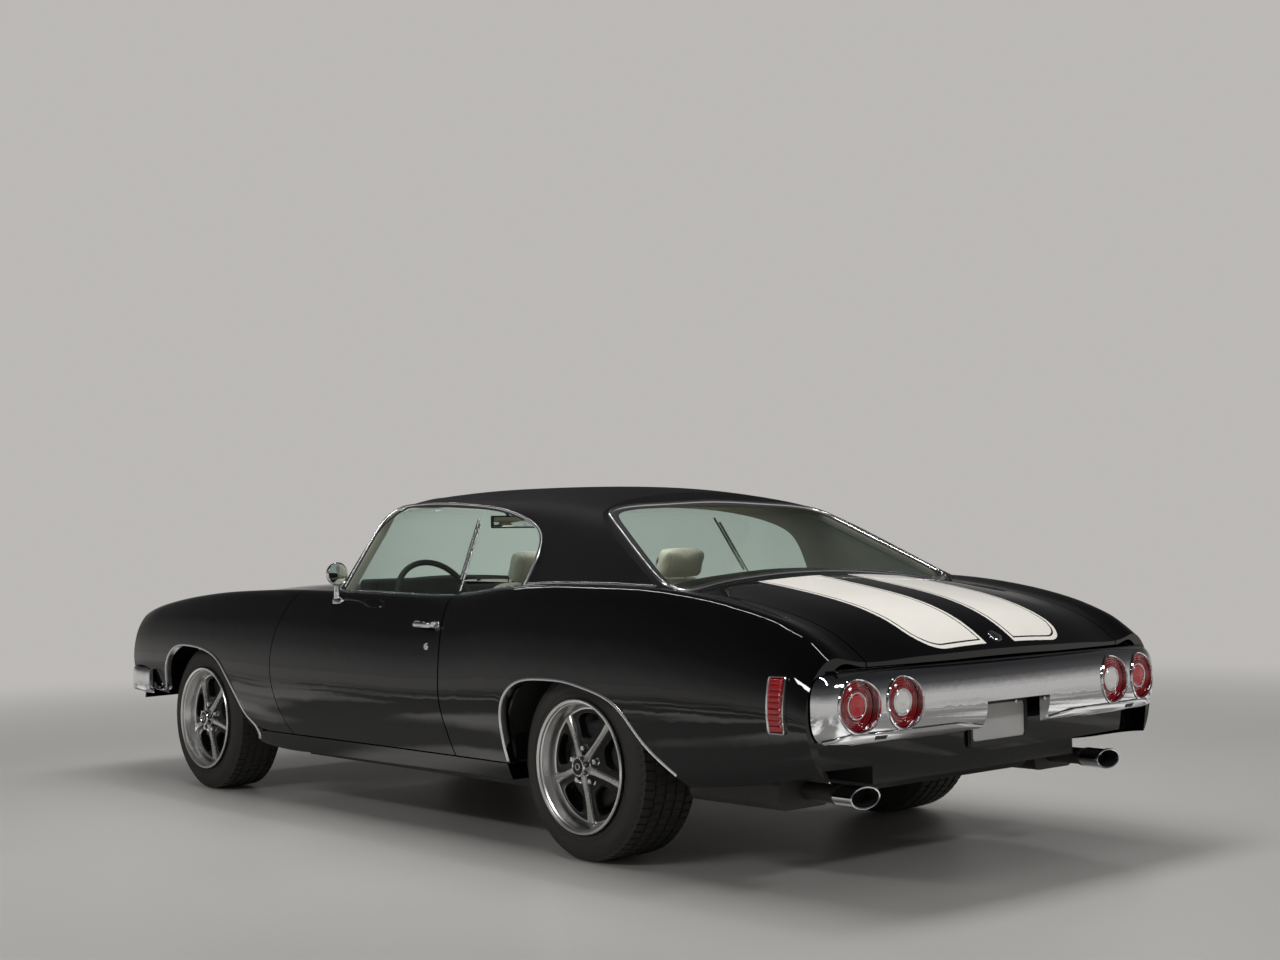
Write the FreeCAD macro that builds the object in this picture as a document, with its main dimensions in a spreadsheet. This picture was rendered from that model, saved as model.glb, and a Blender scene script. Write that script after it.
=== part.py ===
import FreeCAD, Part
import math
import os
import re

# Two-door hardtop coupe. Millimetres, X forward, Y to the car's left, Z up.
# The origin is on the ground, midway between the bumpers' outermost points.

doc = FreeCAD.newDocument("muscle_car")
sheet = doc.addObject("Spreadsheet::Sheet", "sizes")

driving_sizes = {
    # whole car
    "overall_length": 5016.0,
    "rear_overhang": 1234.0,
    "wheelbase": 2845.0,
    "body_width": 1914.0,
    "roof_height": 1366.0,
    "belt_height": 936.0,
    "panel_gap": 6.0,
    "moving_gap": 8.0,
    "seat_gap": 0.3,
    "hinge_pin_radius": 5.0,
    "hinge_eye_radius": 8.0,
    "hinge_clearance": 3.0,
    "hinge_plate": 12.0,
    "hinge_spacing": 590.0,
    "overrun": 60.0,
    # sheet panels and walls
    "fender_wall": 13.0,
    "quarter_wall": 40.0,
    "door_thickness": 80.0,
    "lid_thickness": 22.0,
    "deck_skin": 16.0,
    "deck_dip": 8.0,
    # greenhouse
    "roof_skin": 35.0,
    "pillar_wall": 45.0,
    "roof_drop": 70.0,
    "roof_corner_radius": 90.0,
    "side_base_half_width": 846.0,
    "side_lean_share": 0.5425,
    "greenhouse_base_height": 880.0,
    "greenhouse_top_height": 1420.0,
    "glass_inset": 10.0,
    "glass_thickness": 6.0,
    "windshield_base_from_rear": 3400.0,
    "windshield_bow": 395.0,
    "windshield_top_bow": 95.0,
    "windshield_rake_share": 0.984,
    "pillar_half_width": 818.0,
    "pillar_lean_share": 0.505,
    "backlight_base_from_rear": 745.0,
    "backlight_bow": 48.0,
    "backlight_rake_share": 1.924,
    "sail_taper": 12.0,
    "sail_length": 600.0,
    "windshield_opening_half_width": 745.0,
    "backlight_opening_half_width": 716.0,
    # lids
    "hood_half_width": 690.0,
    "hood_rear_from_rear": 3384.0,
    "hood_rear_bow": 130.0,
    "hood_cowl_gap": 30.0,
    "hood_hinge_from_rear": 3248.0,
    "hood_hinge_height": 910.0,
    "deck_lid_half_width": 665.0,
    "deck_lid_front_from_rear": 829.0,
    "deck_lid_lowest": 716.0,
    "tulip_front_from_rear": 1044.0,
    "tulip_half_width": 694.0,
    "lid_hinge_from_rear": 1028.0,
    "lid_hinge_height": 935.0,
    "cabin_half_width": 745.0,
    "nose_from_front": 67.0,
    "nose_sweep": 124.0,
    "tail_from_rear": 49.0,
    "tail_sweep": 55.0,
    # doors and sills
    "door_front_from_rear": 3339.0,
    "door_rear_from_rear": 2036.0,
    "sill_top": 315.0,
    "sill_thickness": 100.0,
    "door_hinge_back": 100.0,
    "door_hinge_half_width": 925.0,
    "door_hinge_low": 500.0,
    "door_hinge_high": 650.0,
    "door_hinge_height": 24.0,
    "hinge_pocket_reach": 130.0,
    "pillar_foot_from_rear": 2874.0,
    "pillar_foot_half_width": 800.0,
    "pillar_foot_lowest": 850.0,
    # running gear
    "tyre_radius": 335.0,
    "front_tyre_width": 240.0,
    "rear_tyre_width": 275.0,
    "front_wheel_offset": 764.0,
    "rear_wheel_offset": 752.0,
    "rim_radius": 239.0,
    "rim_bead_radius": 226.0,
    "rim_wall": 10.0,
    "rim_lip_width": 12.0,
    "hub_radius": 62.0,
    "hub_depth": 60.0,
    "cap_radius": 40.0,
    "cap_depth": 26.0,
    "spoke_count": 5.0,
    "spoke_width": 46.0,
    "spoke_depth": 24.0,
    "dish_depth": 62.0,
    "tyre_round": 34.0,
    "kingpin_offset": 690.0,
    "spindle_radius": 20.0,
    "bore_clearance": 0.3,
    "drum_radius": 140.0,
    "drum_width": 60.0,
    "axle_tube_radius": 38.0,
    "spring_radius": 49.4,
    "differential_radius": 120.0,
    "upright_width": 50.0,
    "upright_length": 60.0,
    "upright_height": 220.0,
    "arm_thickness": 26.0,
    "arm_tip_width": 70.0,
    "arm_root_width": 200.0,
    # frame and floor
    "rail_width": 70.0,
    "rail_height": 110.0,
    "rail_front_spacing": 395.0,
    "rail_mid_spacing": 700.0,
    "rail_rear_spacing": 500.0,
    "rail_underside": 205.0,
    "rail_front_rise": 95.0,
    "rail_axle_rise": 225.0,
    "rail_tail_rise": 125.0,
    "firewall_from_rear": 3290.0,
    "seat_riser_from_rear": 1700.0,
    "trunk_step_from_rear": 884.0,
    "floor_thickness": 8.0,
    "floor_half_width": 818.0,
    "tunnel_half_width": 150.0,
    "tunnel_height": 165.0,
    "rear_floor_height": 560.0,
    "trunk_floor_height": 448.0,
    "wheelhouse_half_length": 430.0,
    "wheelhouse_side": 590.0,
    "wheelhouse_height": 720.0,
    "inner_fender_spacing": 440.0,
    "inner_fender_reach": 880.0,
    "inner_fender_low": 482.0,
    "inner_fender_top": 744.0,
    "inner_fender_ahead": 602.0,
    # drive
    "radiator_depth": 50.0,
    "radiator_width": 660.0,
    "radiator_height": 380.0,
    "radiator_from_front": 300.0,
    "engine_length": 690.0,
    "engine_width": 520.0,
    "engine_height": 520.0,
    "gearbox_length": 760.0,
    "gearbox_radius": 105.0,
    "gearbox_centre_height": 345.0,
    "driveshaft_radius": 38.0,
    "pipe_radius": 30.0,
    "pipe_height": 278.0,
    "pipe_low_height": 255.0,
    "pipe_front_spacing": 250.0,
    "pipe_rear_spacing": 400.0,
    "muffler_length": 420.0,
    "muffler_width": 230.0,
    "muffler_height": 110.0,
    "muffler_spacing": 665.0,
    "muffler_from_rear": 358.0,
    "tip_from_rear": 114.0,
    "tip_spacing": 650.0,
    "tip_height": 306.0,
    "tip_half_width": 66.0,
    "tip_half_height": 33.0,
    "tip_wall": 4.0,
    "tank_from_rear": 268.0,
    "tank_length": 420.0,
    "tank_width": 800.0,
    "tank_height": 150.0,
    "tank_round": 30.0,
    # bumpers, lamps and grille
    "rear_bumper_top": 711.0,
    "rear_bumper_bottom": 476.0,
    "front_bumper_top": 570.0,
    "front_bumper_bottom": 415.0,
    "bumper_depth": 60.0,
    "body_clearance": 3.0,
    "tail_lamp_radius": 80.0,
    "tail_lamp_height": 602.0,
    "tail_lamp_inner_offset": 560.0,
    "tail_lamp_outer_offset": 752.0,
    "tail_lamp_recess": 16.0,
    "lamp_clearance": 2.0,
    "tail_panel_setback": 50.0,
    "tail_panel_low": 400.0,
    "tail_panel_high": 706.0,
    "panel_thickness": 12.0,
    "front_panel_low": 395.0,
    "front_panel_setback": 70.0,
    "headlamp_radius": 90.0,
    "headlamp_offset": 640.0,
    "headlamp_depth": 26.0,
    "lens_bulge": 18.0,
    "lamp_housing_width": 182.0,
    "grille_half_width": 545.0,
    "grille_bottom": 577.0,
    "grille_top": 760.0,
    "grille_depth": 50.0,
    "grille_bar": 8.0,
    "grille_bar_count": 8.0,
    "grille_frame": 14.0,
    "grille_setback": 24.0,
    "corner_lamp_low": 600.0,
    "plate_width": 300.0,
    "plate_height": 150.0,
    "plate_thickness": 6.0,
    "bracket_offset": 350.0,
    "bracket_width": 50.0,
    "bracket_height": 60.0,
    "plate_low": 420.0,
    "plate_notch_half_width": 168.0,
    "plate_notch_top": 576.0,
    "plate_hole_radius": 3.5,
    "plate_hole_spacing": 178.0,
    "plate_hole_drop": 15.0,
    "marker_from_rear": 186.0,
    "marker_length": 56.0,
    "marker_low": 527.0,
    "marker_height": 162.0,
    "marker_proud": 8.0,
    # cabin
    "dash_depth": 290.0,
    "dash_low": 690.0,
    "dash_height": 205.0,
    "dash_half_width": 690.0,
    "dash_round": 45.0,
    "seat_width": 480.0,
    "seat_spacing": 400.0,
    "seat_from_rear": 2268.0,
    "seat_round": 40.0,
    "seat_base_height": 80.0,
    "seat_base_width": 400.0,
    "seat_base_length": 380.0,
    "cushion_length": 520.0,
    "cushion_height": 140.0,
    "backrest_depth": 120.0,
    "backrest_height": 560.0,
    "backrest_lean": 20.0,
    "headrest_height": 130.0,
    "headrest_width": 260.0,
    "headrest_depth": 80.0,
    "rear_cushion_length": 430.0,
    "rear_cushion_height": 180.0,
    "rear_backrest_depth": 130.0,
    "rear_backrest_height": 370.0,
    "rear_seat_half_width": 560.0,
    "shelf_height": 936.0,
    "shelf_half_width": 735.0,
    "steering_wheel_radius": 190.0,
    "steering_rim_radius": 13.0,
    "steering_boss_radius": 45.0,
    "steering_spoke_width": 36.0,
    "steering_tilt": 24.0,
    "steering_wheel_from_rear": 2840.0,
    "steering_wheel_height": 880.0,
    "column_radius": 26.0,
    "column_length": 420.0,
    "mirror_width": 104.0,
    "mirror_height": 96.0,
    "mirror_depth": 46.0,
    "mirror_round": 22.0,
    "mirror_offset": 920.0,
    "mirror_centre_height": 1016.0,
    "mirror_from_rear": 2814.0,
    "mirror_foot_from_rear": 2900.0,
    "mirror_foot_offset": 860.0,
    "mirror_foot_height": 880.0,
    "mirror_stalk_radius": 15.0,
}

for row, (name, value) in enumerate(driving_sizes.items(), 1):
    sheet.set("A%d" % row, name)
    sheet.set("B%d" % row, str(value))
    sheet.setAlias("B%d" % row, name)
derived_sizes = {
    "half_length": "=overall_length / 2",
    "rear_axle": "=rear_overhang - overall_length / 2",
    "front_axle": "=rear_overhang - overall_length / 2 + wheelbase",
    "floor_height": "=rail_underside + rail_height + seat_gap",
    "firewall": "=firewall_from_rear - overall_length / 2",
    "seat_riser": "=seat_riser_from_rear - overall_length / 2",
    "front_hub_offset": "=front_wheel_offset + front_tyre_width / 2 - dish_depth - hub_depth / 2",
    "rear_hub_offset": "=rear_wheel_offset + rear_tyre_width / 2 - dish_depth - hub_depth / 2",
    "engine_rear": "=rear_overhang - overall_length / 2 + wheelbase + overrun - engine_length",
    "gearbox_rear": "=rear_overhang - overall_length / 2 + wheelbase + overrun - engine_length - gearbox_length",
    "trunk_step": "=trunk_step_from_rear - overall_length / 2",
}
for row, (name, rule) in enumerate(derived_sizes.items(), len(driving_sizes) + 1):
    sheet.set("A%d" % row, name)
    sheet.set("B%d" % row, rule)
    sheet.setAlias("B%d" % row, name)
doc.recompute()
cell_names = set(driving_sizes) | set(derived_sizes)


class SheetSizes:
    """Reads a driving size from the sheet by its name."""

    def __getattr__(self, name):
        return float(sheet.get(name))


size = SheetSizes()
vector = FreeCAD.Vector

half_length = size.half_length
half_width = size.body_width / 2
rear_axle_x = size.rear_axle
front_axle_x = size.front_axle
nodes = []


def from_rear(distance):
    return distance - half_length


def along(length_share):
    return length_share * size.overall_length - half_length


# shape helpers


def spline_edge(points):
    curve = Part.BSplineCurve()
    curve.interpolate(points)
    return curve.toShape()


def arch_wire(points):
    """A closed wire: one smooth curve through the points and a straight line back."""
    return Part.Wire([spline_edge(points), Part.makeLine(points[-1], points[0])])


def face_of(*runs):
    """A flat face bounded by runs of points, where a run of two is straight and a longer one is a smooth curve."""
    edges = []
    for run in runs:
        if len(run) == 2:
            edges.append(Part.makeLine(run[0], run[1]))
        else:
            edges.append(spline_edge(run))
    return Part.Face(Part.Wire(edges))


def closing_runs(curves):
    """Joins each curve's end to the next one's start with a straight run."""
    runs = []
    for index, curve in enumerate(curves):
        if len(curve) > 1:
            runs.append(curve)
        following = curves[(index + 1) % len(curves)]
        if (curve[-1] - following[0]).Length > size.seat_gap:
            runs.append([curve[-1], following[0]])
    return runs


def side_prism(curves, y_from, y_to):
    """A prism across the car from curves of (x, z) points, joined by straight lines."""
    placed = [[vector(x, y_from, z) for x, z in curve] for curve in curves]
    return face_of(*closing_runs(placed)).extrude(vector(0, y_to - y_from, 0))


def plan_prism(curves, z_from, z_to):
    placed = [[vector(x, y, z_from) for x, y in curve] for curve in curves]
    return face_of(*closing_runs(placed)).extrude(vector(0, 0, z_to - z_from))


def front_prism(curves, x_from, x_to):
    placed = [[vector(x_from, y, z) for y, z in curve] for curve in curves]
    return face_of(*closing_runs(placed)).extrude(vector(x_to - x_from, 0, 0))


def box_between(x_from, x_to, y_from, y_to, z_from, z_to):
    return Part.makeBox(x_to - x_from, y_to - y_from, z_to - z_from, vector(x_from, y_from, z_from))


def mirrored(shape):
    return shape.mirror(vector(0, 0, 0), vector(0, 1, 0))


def largest_solid(shape):
    return max(shape.Solids, key=lambda solid: solid.Volume)


def add_node(name, shape):
    feature = doc.addObject("Part::Feature", name)
    feature.Label = name
    feature.Shape = shape
    feature.Placement = FreeCAD.Placement()
    nodes.append(feature)
    return feature


# helpers for primitives whose sizes are bound to the sheet


def bound_rule(rule):
    """An expression for setExpression, with each cell's name tied to the sheet."""
    return re.sub(r"[a-z_]+", lambda word: "sizes." + word[0] if word[0] in cell_names else word[0], rule)


def bind(obj, rules):
    for prop, rule in rules.items():
        obj.setExpression(prop, bound_rule(rule))
    return obj


def placed(obj, x, y, z, axis=None, angle=0):
    if axis is not None:
        obj.Placement = FreeCAD.Placement(vector(0, 0, 0), FreeCAD.Rotation(vector(*axis), angle))
    return bind(obj, {"Placement.Base.x": x, "Placement.Base.y": y, "Placement.Base.z": z})


def bar(x_from, x_to, y_from, y_to, z_from, z_to):
    """A box between two corners given as rules."""
    box = doc.addObject("Part::Box", "bar")
    bind(box, {"Length": "(%s) - (%s)" % (x_to, x_from), "Width": "(%s) - (%s)" % (y_to, y_from),
               "Height": "(%s) - (%s)" % (z_to, z_from)})
    return placed(box, x_from, y_from, z_from)


def rod(radius, length, x, y, z, axis=None, angle=0):
    cylinder = doc.addObject("Part::Cylinder", "rod")
    bind(cylinder, {"Radius": radius, "Height": length})
    return placed(cylinder, x, y, z, axis, angle)


def cross_rod(radius, length, x, y, z):
    """A cylinder whose axis runs from right to left, starting at y."""
    return rod(radius, length, x, y, z, (1, 0, 0), -90)


def long_rod(radius, length, x, y, z):
    """A cylinder whose axis runs forward, starting at x."""
    return rod(radius, length, x, y, z, (0, 1, 0), 90)


def fused(members, name="joined"):
    joined = doc.addObject("Part::MultiFuse", name)
    joined.Label = name
    joined.Shapes = members
    return joined


def cut(base, tool, name="trimmed"):
    trimmed = doc.addObject("Part::Cut", name)
    trimmed.Label = name
    trimmed.Base = base
    trimmed.Tool = tool
    return trimmed


def mirror_of(source, name="mirrored"):
    twin = doc.addObject("Part::Mirroring", name)
    twin.Label = name
    twin.Source = source
    twin.Base = vector(0, 0, 0)
    twin.Normal = vector(0, 1, 0)
    return twin


def rounded(source, radius, name="rounded"):
    """Every edge of a box or cylinder rounded alike."""
    doc.recompute()
    fillet = doc.addObject("Part::Fillet", name)
    fillet.Label = name
    fillet.Base = source
    fillet.Edges = [(index + 1, radius, radius) for index in range(len(source.Shape.Edges))]
    return fillet


def pair(left, name):
    """A left piece and its mirror image on one body, as one node of two solids."""
    both = doc.addObject("Part::Compound", name)
    both.Label = name
    both.Links = [left, mirror_of(left)]
    return node(both, name)


def node(obj, name):
    obj.Label = name
    nodes.append(obj)
    return obj


# lower body: a smooth skin through stations from tail to nose

# share of length, then half width, shoulder, centre and underside as shares
station_shares = (
    (0.000, 0.946, 0.735, 0.750, 0.427),
    (0.017, 0.959, 0.796, 0.822, 0.417),
    (0.035, 0.968, 0.861, 0.885, 0.406),
    (0.067, 0.978, 0.927, 0.954, 0.374),
    (0.116, 0.991, 0.984, 1.011, 0.342),
    (0.176, 1.000, 1.022, 1.062, 0.310),
    (0.246, 1.000, 1.034, 1.095, 0.280),
    (0.336, 0.993, 1.026, 1.095, 0.272),
    (0.423, 0.985, 0.984, 1.070, 0.268),
    (0.505, 0.984, 0.990, 1.058, 0.264),
    (0.595, 0.987, 1.000, 1.052, 0.262),
    (0.675, 0.988, 1.004, 1.046, 0.262),
    (0.764, 0.986, 0.994, 1.034, 0.320),
    (0.855, 0.974, 0.965, 1.006, 0.374),
    (0.914, 0.956, 0.932, 0.967, 0.400),
    (0.964, 0.930, 0.889, 0.921, 0.427),
    (1.000, 0.888, 0.828, 0.855, 0.449),
)
# share of half width, share of the height from underside to shoulder
side_shares = (
    (0.930, 0.000),
    (0.965, 0.120),
    (0.990, 0.300),
    (1.000, 0.440),
    (0.995, 0.600),
    (0.975, 0.760),
    (0.945, 0.880),
    (0.915, 0.955),
    (0.880, 1.000),
)
# share of half width, share of the crown from the dip beside the lids to the centre
crown_shares = (
    (0.800, 0.120),
    (0.720, 0.000),
    (0.550, 0.380),
    (0.360, 0.720),
    (0.180, 0.930),
    (0.000, 1.000),
)


def lower_body(side_inset=0, top_inset=0, floor_drop=0):
    wires = []
    for length_share, width_share, shoulder_share, centre_share, under_share in station_shares:
        x = along(length_share)
        reach = half_width * width_share
        under = size.belt_height * under_share - floor_drop
        shoulder = size.belt_height * shoulder_share - top_inset
        centre = size.belt_height * centre_share - top_inset
        crown_base = shoulder - size.deck_dip
        half = []
        for across, up in side_shares:
            half.append(vector(x, side_inset - across * reach, under + up * (shoulder - under)))
        for across, up in crown_shares:
            inward = across * reach * (1 - side_inset / reach)
            half.append(vector(x, -inward, crown_base + up * (centre - crown_base)))
        other = [vector(p.x, -p.y, p.z) for p in reversed(half[:-1])]
        wires.append(arch_wire(half + other))
    return Part.makeLoft(wires, True, False)


# greenhouse: cross sections along the car, cut by the windshield and backlight walls

# share of length, share of roof height
roof_centre_shares = (
    (0.146, 0.852),
    (0.196, 0.892),
    (0.246, 0.926),
    (0.282, 0.948),
    (0.326, 0.974),
    (0.371, 0.989),
    (0.450, 0.999),
    (0.535, 1.000),
    (0.565, 0.994),
    (0.595, 0.981),
    (0.625, 0.960),
    (0.685, 0.905),
)
side_level_shares = (0.0, 0.33, 0.66, 1.0)
corner_bend_shares = ((0.45, 0.05), (0.05, 0.28))
roof_crown_shares = (0.55, 0.28, 0.0)
crown_power = 2.2
widest_length_share = 0.505
front_taper_share = 0.03
taper_reach_share = 0.083


def backlight_corner_x(z):
    return from_rear(size.backlight_base_from_rear) + size.backlight_rake_share * (z - size.greenhouse_base_height)


def greenhouse_half_width(x, z):
    width = size.side_base_half_width - size.side_lean_share * (z - size.greenhouse_base_height)
    forward = max(0.0, (x - along(widest_length_share)) / (taper_reach_share * size.overall_length))
    behind = 1 - min(1.0, max(0.0, (x - backlight_corner_x(z)) / size.sail_length))
    return width * (1 - front_taper_share * forward ** 2) - size.sail_taper * behind ** 2


def roof_solid(side_inset=0, top_inset=0):
    wires = []
    base = size.greenhouse_base_height - side_inset
    radius = size.roof_corner_radius
    for length_share, height_share in roof_centre_shares:
        x = along(length_share)
        centre = size.roof_height * height_share - top_inset
        edge = centre - size.roof_drop
        half = []
        for level in side_level_shares:
            z = base + level * (edge - radius - base)
            half.append(vector(x, side_inset - greenhouse_half_width(x, z), z))
        for down, inward in corner_bend_shares:
            z = edge - down * radius
            y = greenhouse_half_width(x, z) - side_inset - inward * radius
            half.append(vector(x, -y, z))
        edge_width = greenhouse_half_width(x, edge) - side_inset
        crown_widths = [edge_width - radius] + [edge_width * share for share in roof_crown_shares]
        for y in crown_widths:
            half.append(vector(x, -y, centre - size.roof_drop * (y / edge_width) ** crown_power))
        other = [vector(p.x, -p.y, p.z) for p in reversed(half[:-1])]
        wires.append(arch_wire(half + other))
    return Part.makeLoft(wires, True, False)


wall_width_share = 0.55
wall_reach_shares = (-1.0, -0.75, -0.5, -0.25, 0.0, 0.25, 0.5, 0.75, 1.0)


def wall_solid(inset=0):
    """What lies between the windshield and the backlight, seen from above, at two heights."""
    wires = []
    low = size.greenhouse_base_height - size.overrun
    high = size.greenhouse_top_height
    for z in (low, high):
        rise = z - size.greenhouse_base_height
        rise_share = rise / (size.greenhouse_top_height - size.greenhouse_base_height)
        bow = size.windshield_bow + (size.windshield_top_bow - size.windshield_bow) * rise_share
        front_slant = math.hypot(1, size.windshield_rake_share)
        rear_slant = math.hypot(1, size.backlight_rake_share)
        front_centre = from_rear(size.windshield_base_from_rear) - size.windshield_rake_share * rise
        front_centre -= inset * front_slant
        reference = size.pillar_half_width - size.pillar_lean_share * rise
        rear_centre = backlight_corner_x(z) - size.backlight_bow + inset * rear_slant
        front_points = []
        rear_points = []
        for share in wall_reach_shares:
            y = share * size.body_width * wall_width_share
            front_points.append(vector(front_centre - bow * (y / reference) ** 2, y, z))
            rear_points.append(vector(rear_centre + size.backlight_bow * (y / reference) ** 2, -y, z))
        front_edge = spline_edge(front_points)
        rear_edge = spline_edge(rear_points)
        left = Part.makeLine(front_points[-1], rear_points[0])
        right = Part.makeLine(rear_points[-1], front_points[0])
        wires.append(Part.Wire([front_edge, left, rear_edge, right]))
    return Part.makeLoft(wires, True, True)


outer_body = lower_body()
outer_greenhouse = roof_solid().common(wall_solid())

high = size.greenhouse_top_height
far_ahead = half_length + size.overrun
far_behind = -far_ahead
far_side = half_width + size.overrun
door_bottom = size.sill_top + size.panel_gap
inner_reach = size.cabin_half_width / 2


def panel(zone, side_inset=0, top_inset=0, floor_drop=0):
    """The part of the body's skin inside a zone, as deep as the insets say."""
    outside = outer_body.common(zone)
    inside = lower_body(side_inset, top_inset, floor_drop).common(zone)
    return outside.cut(inside)


# seams seen from the side, as shares of the door's length and of the belt's height
door_front_shares = ((-0.080, 1.12), (-0.072, 1.000), (-0.030, 0.876), (0.0, 0.727), (-0.004, 0.598), (-0.030, 0.486),
                     (-0.075, 0.395), (-0.118, 0.333), (-0.16, 0.26))
door_rear_shares = ((0.036, 1.12), (0.034, 0.962), (0.016, 0.854), (0.0, 0.661), (-0.009, 0.519), (-0.028, 0.437),
                    (-0.052, 0.333), (-0.078, 0.26))


def door_seam(edge_from_rear, shares, shift=0):
    length = size.door_front_from_rear - size.door_rear_from_rear
    x = from_rear(edge_from_rear) + shift
    return [(x + ahead * length, up * size.belt_height) for ahead, up in shares]


# wheel arches: shares of the tyre's radius ahead of the axle and above the ground
rear_arch_shares = ((1.18, 0.60), (1.16, 1.30), (1.12, 1.60), (0.93, 1.80), (0.46, 1.89), (0.0, 1.885), (-0.42, 1.82),
                    (-0.86, 1.67), (-1.16, 1.36), (-1.55, 1.05), (-1.95, 0.72))
front_arch_shares = ((1.02, 0.60), (1.04, 1.30), (0.99, 1.63), (0.80, 1.90), (0.24, 2.01), (-0.42, 1.945),
                     (-0.74, 1.83), (-1.0, 1.60), (-1.27, 1.28), (-1.47, 1.00), (-1.75, 0.72))


def arch_prism(axle_x, shares):
    curve = [(axle_x + ahead * size.tyre_radius, up * size.tyre_radius) for ahead, up in shares]
    return side_prism([curve, [(curve[-1][0], 0), (curve[0][0], 0)]], inner_reach, far_side)


def hood_rear_x(y):
    return from_rear(size.hood_rear_from_rear) - size.hood_rear_bow * (y / size.hood_half_width) ** 2


def nose_x(y):
    return half_length - size.nose_from_front - size.nose_sweep * (y / half_width) ** 2


def tail_x(y):
    return size.tail_from_rear - half_length + size.tail_sweep * (y / half_width) ** 2


across_shares = (-1.0, -0.75, -0.5, -0.25, 0.0, 0.25, 0.5, 0.75, 1.0)
one_side_shares = (0.0, 0.25, 0.5, 0.75, 1.0)


def curve_across(x_at, reach, shift=0, shares=across_shares):
    return [(x_at(share * reach) + shift, share * reach) for share in shares]


# a hinge arm is a bent plate: an eye at the pin and a strip through its bends, seen from the side
hood_arm_bends = ((0.0, 0.0), (40.0, -40.0), (78.0, -30.0), (88.0, 6.0))
lid_arm_bends = ((0.0, 0.0), (-92.0, -192.0), (-200.0, -170.0), (-258.0, -70.0), (-240.0, 12.0))
arm_unit_share = 0.0002
arm_strip_share = 0.75
pin_reach_share = 1.5


def bent_arm(pin_x, pin_z, bends, y_from, y_to):
    unit = arm_unit_share * size.overall_length
    points = [vector(pin_x + x * unit, y_from, pin_z + z * unit) for x, z in bends]
    strip = size.hinge_eye_radius * arm_strip_share
    pieces = [Part.makeCylinder(size.hinge_eye_radius, y_to - y_from, points[0], vector(0, 1, 0))]
    for start, end in zip(points, points[1:]):
        way = (end - start).normalize()
        side = vector(-way.z, 0, way.x) * strip
        corners = [start - side, end - side, end + side, start + side]
        outline = Part.makePolygon(corners + corners[:1])
        pieces.append(Part.Face(outline).extrude(vector(0, y_to - y_from, 0)))
        pieces.append(Part.makeCylinder(strip, y_to - y_from, end, vector(0, 1, 0)))
    arm_plate = pieces[0].fuse(pieces[1:])
    hole = Part.makeCylinder(size.hinge_pin_radius + size.seat_gap, y_to - y_from + size.overrun,
                             points[0] - vector(0, size.overrun / 2, 0), vector(0, 1, 0))
    return arm_plate.cut(hole)


def hinge_lug(pin_x, pin_z, top_z, y_from, y_to):
    """A plate beside the arm that hangs from the panel above, with the pin through the arm."""
    eye = size.hinge_eye_radius
    plate = box_between(pin_x - eye, pin_x + eye, y_from, y_to, pin_z - eye, top_z)
    pin_reach = size.hinge_plate * pin_reach_share
    pin = Part.makeCylinder(size.hinge_pin_radius, y_to - y_from + pin_reach,
                            vector(pin_x, y_from - pin_reach, pin_z), vector(0, 1, 0))
    return plate.fuse(pin)


def both_sides(shapes):
    return list(shapes) + [mirrored(shape) for shape in shapes]


hood_pin_x = from_rear(size.hood_hinge_from_rear)
lid_pin_x = from_rear(size.lid_hinge_from_rear)
arm_from = size.hinge_spacing
arm_to = size.hinge_spacing + size.hinge_plate
lug_from = arm_to + size.seat_gap
lug_to = lug_from + size.hinge_plate

# hood
upper_skin_share = 0.8
reach = size.hood_half_width
hood_zone = plan_prism([curve_across(hood_rear_x, reach), list(reversed(curve_across(nose_x, reach)))],
                       size.belt_height * upper_skin_share, high)
hood = largest_solid(panel(hood_zone, top_inset=size.lid_thickness))
hood_arm = bent_arm(hood_pin_x, size.hood_hinge_height, hood_arm_bends, arm_from, arm_to).common(outer_body)
add_node("hood", largest_solid(hood.fuse(both_sides([hood_arm]))))

# front fenders
fender_inner = size.hood_half_width + size.panel_gap
nose_line = curve_across(nose_x, far_side, shares=one_side_shares)
fender_zone = side_prism([door_seam(size.door_front_from_rear, door_front_shares, size.panel_gap),
                          [(far_ahead, 0), (far_ahead, high)]], fender_inner, far_side)
fender = panel(fender_zone, size.fender_wall, size.fender_wall, size.overrun)
fender = fender.common(plan_prism([nose_line, [(far_behind, far_side), (far_behind, 0)]], 0, high))
fender = fender.cut(arch_prism(front_axle_x, front_arch_shares))
fender = fender.cut(box_between(from_rear(size.door_rear_from_rear), front_axle_x, inner_reach, far_side, 0,
                                door_bottom))
fender = largest_solid(fender)
add_node("front_fenders", Part.makeCompound([fender, mirrored(fender)]))

# doors
foot_x = from_rear(size.pillar_foot_from_rear)
foot_reach = size.pillar_foot_half_width
door_zone = side_prism([door_seam(size.door_front_from_rear, door_front_shares),
                        list(reversed(door_seam(size.door_rear_from_rear, door_rear_shares)))], inner_reach, far_side)
door = panel(door_zone, size.door_thickness, size.lid_thickness, size.overrun)
door = door.cut(box_between(far_behind, far_ahead, 0, size.cabin_half_width, 0, high))
door = door.cut(box_between(far_behind, far_ahead, 0, far_side, 0, door_bottom))
door = door.cut(box_between(foot_x - size.panel_gap, far_ahead, 0, foot_reach + size.panel_gap,
                            size.pillar_foot_lowest - size.panel_gap, high))
door = largest_solid(door)
hinge_x = from_rear(size.door_front_from_rear) - size.door_hinge_back
hinge_y = size.door_hinge_half_width


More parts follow.
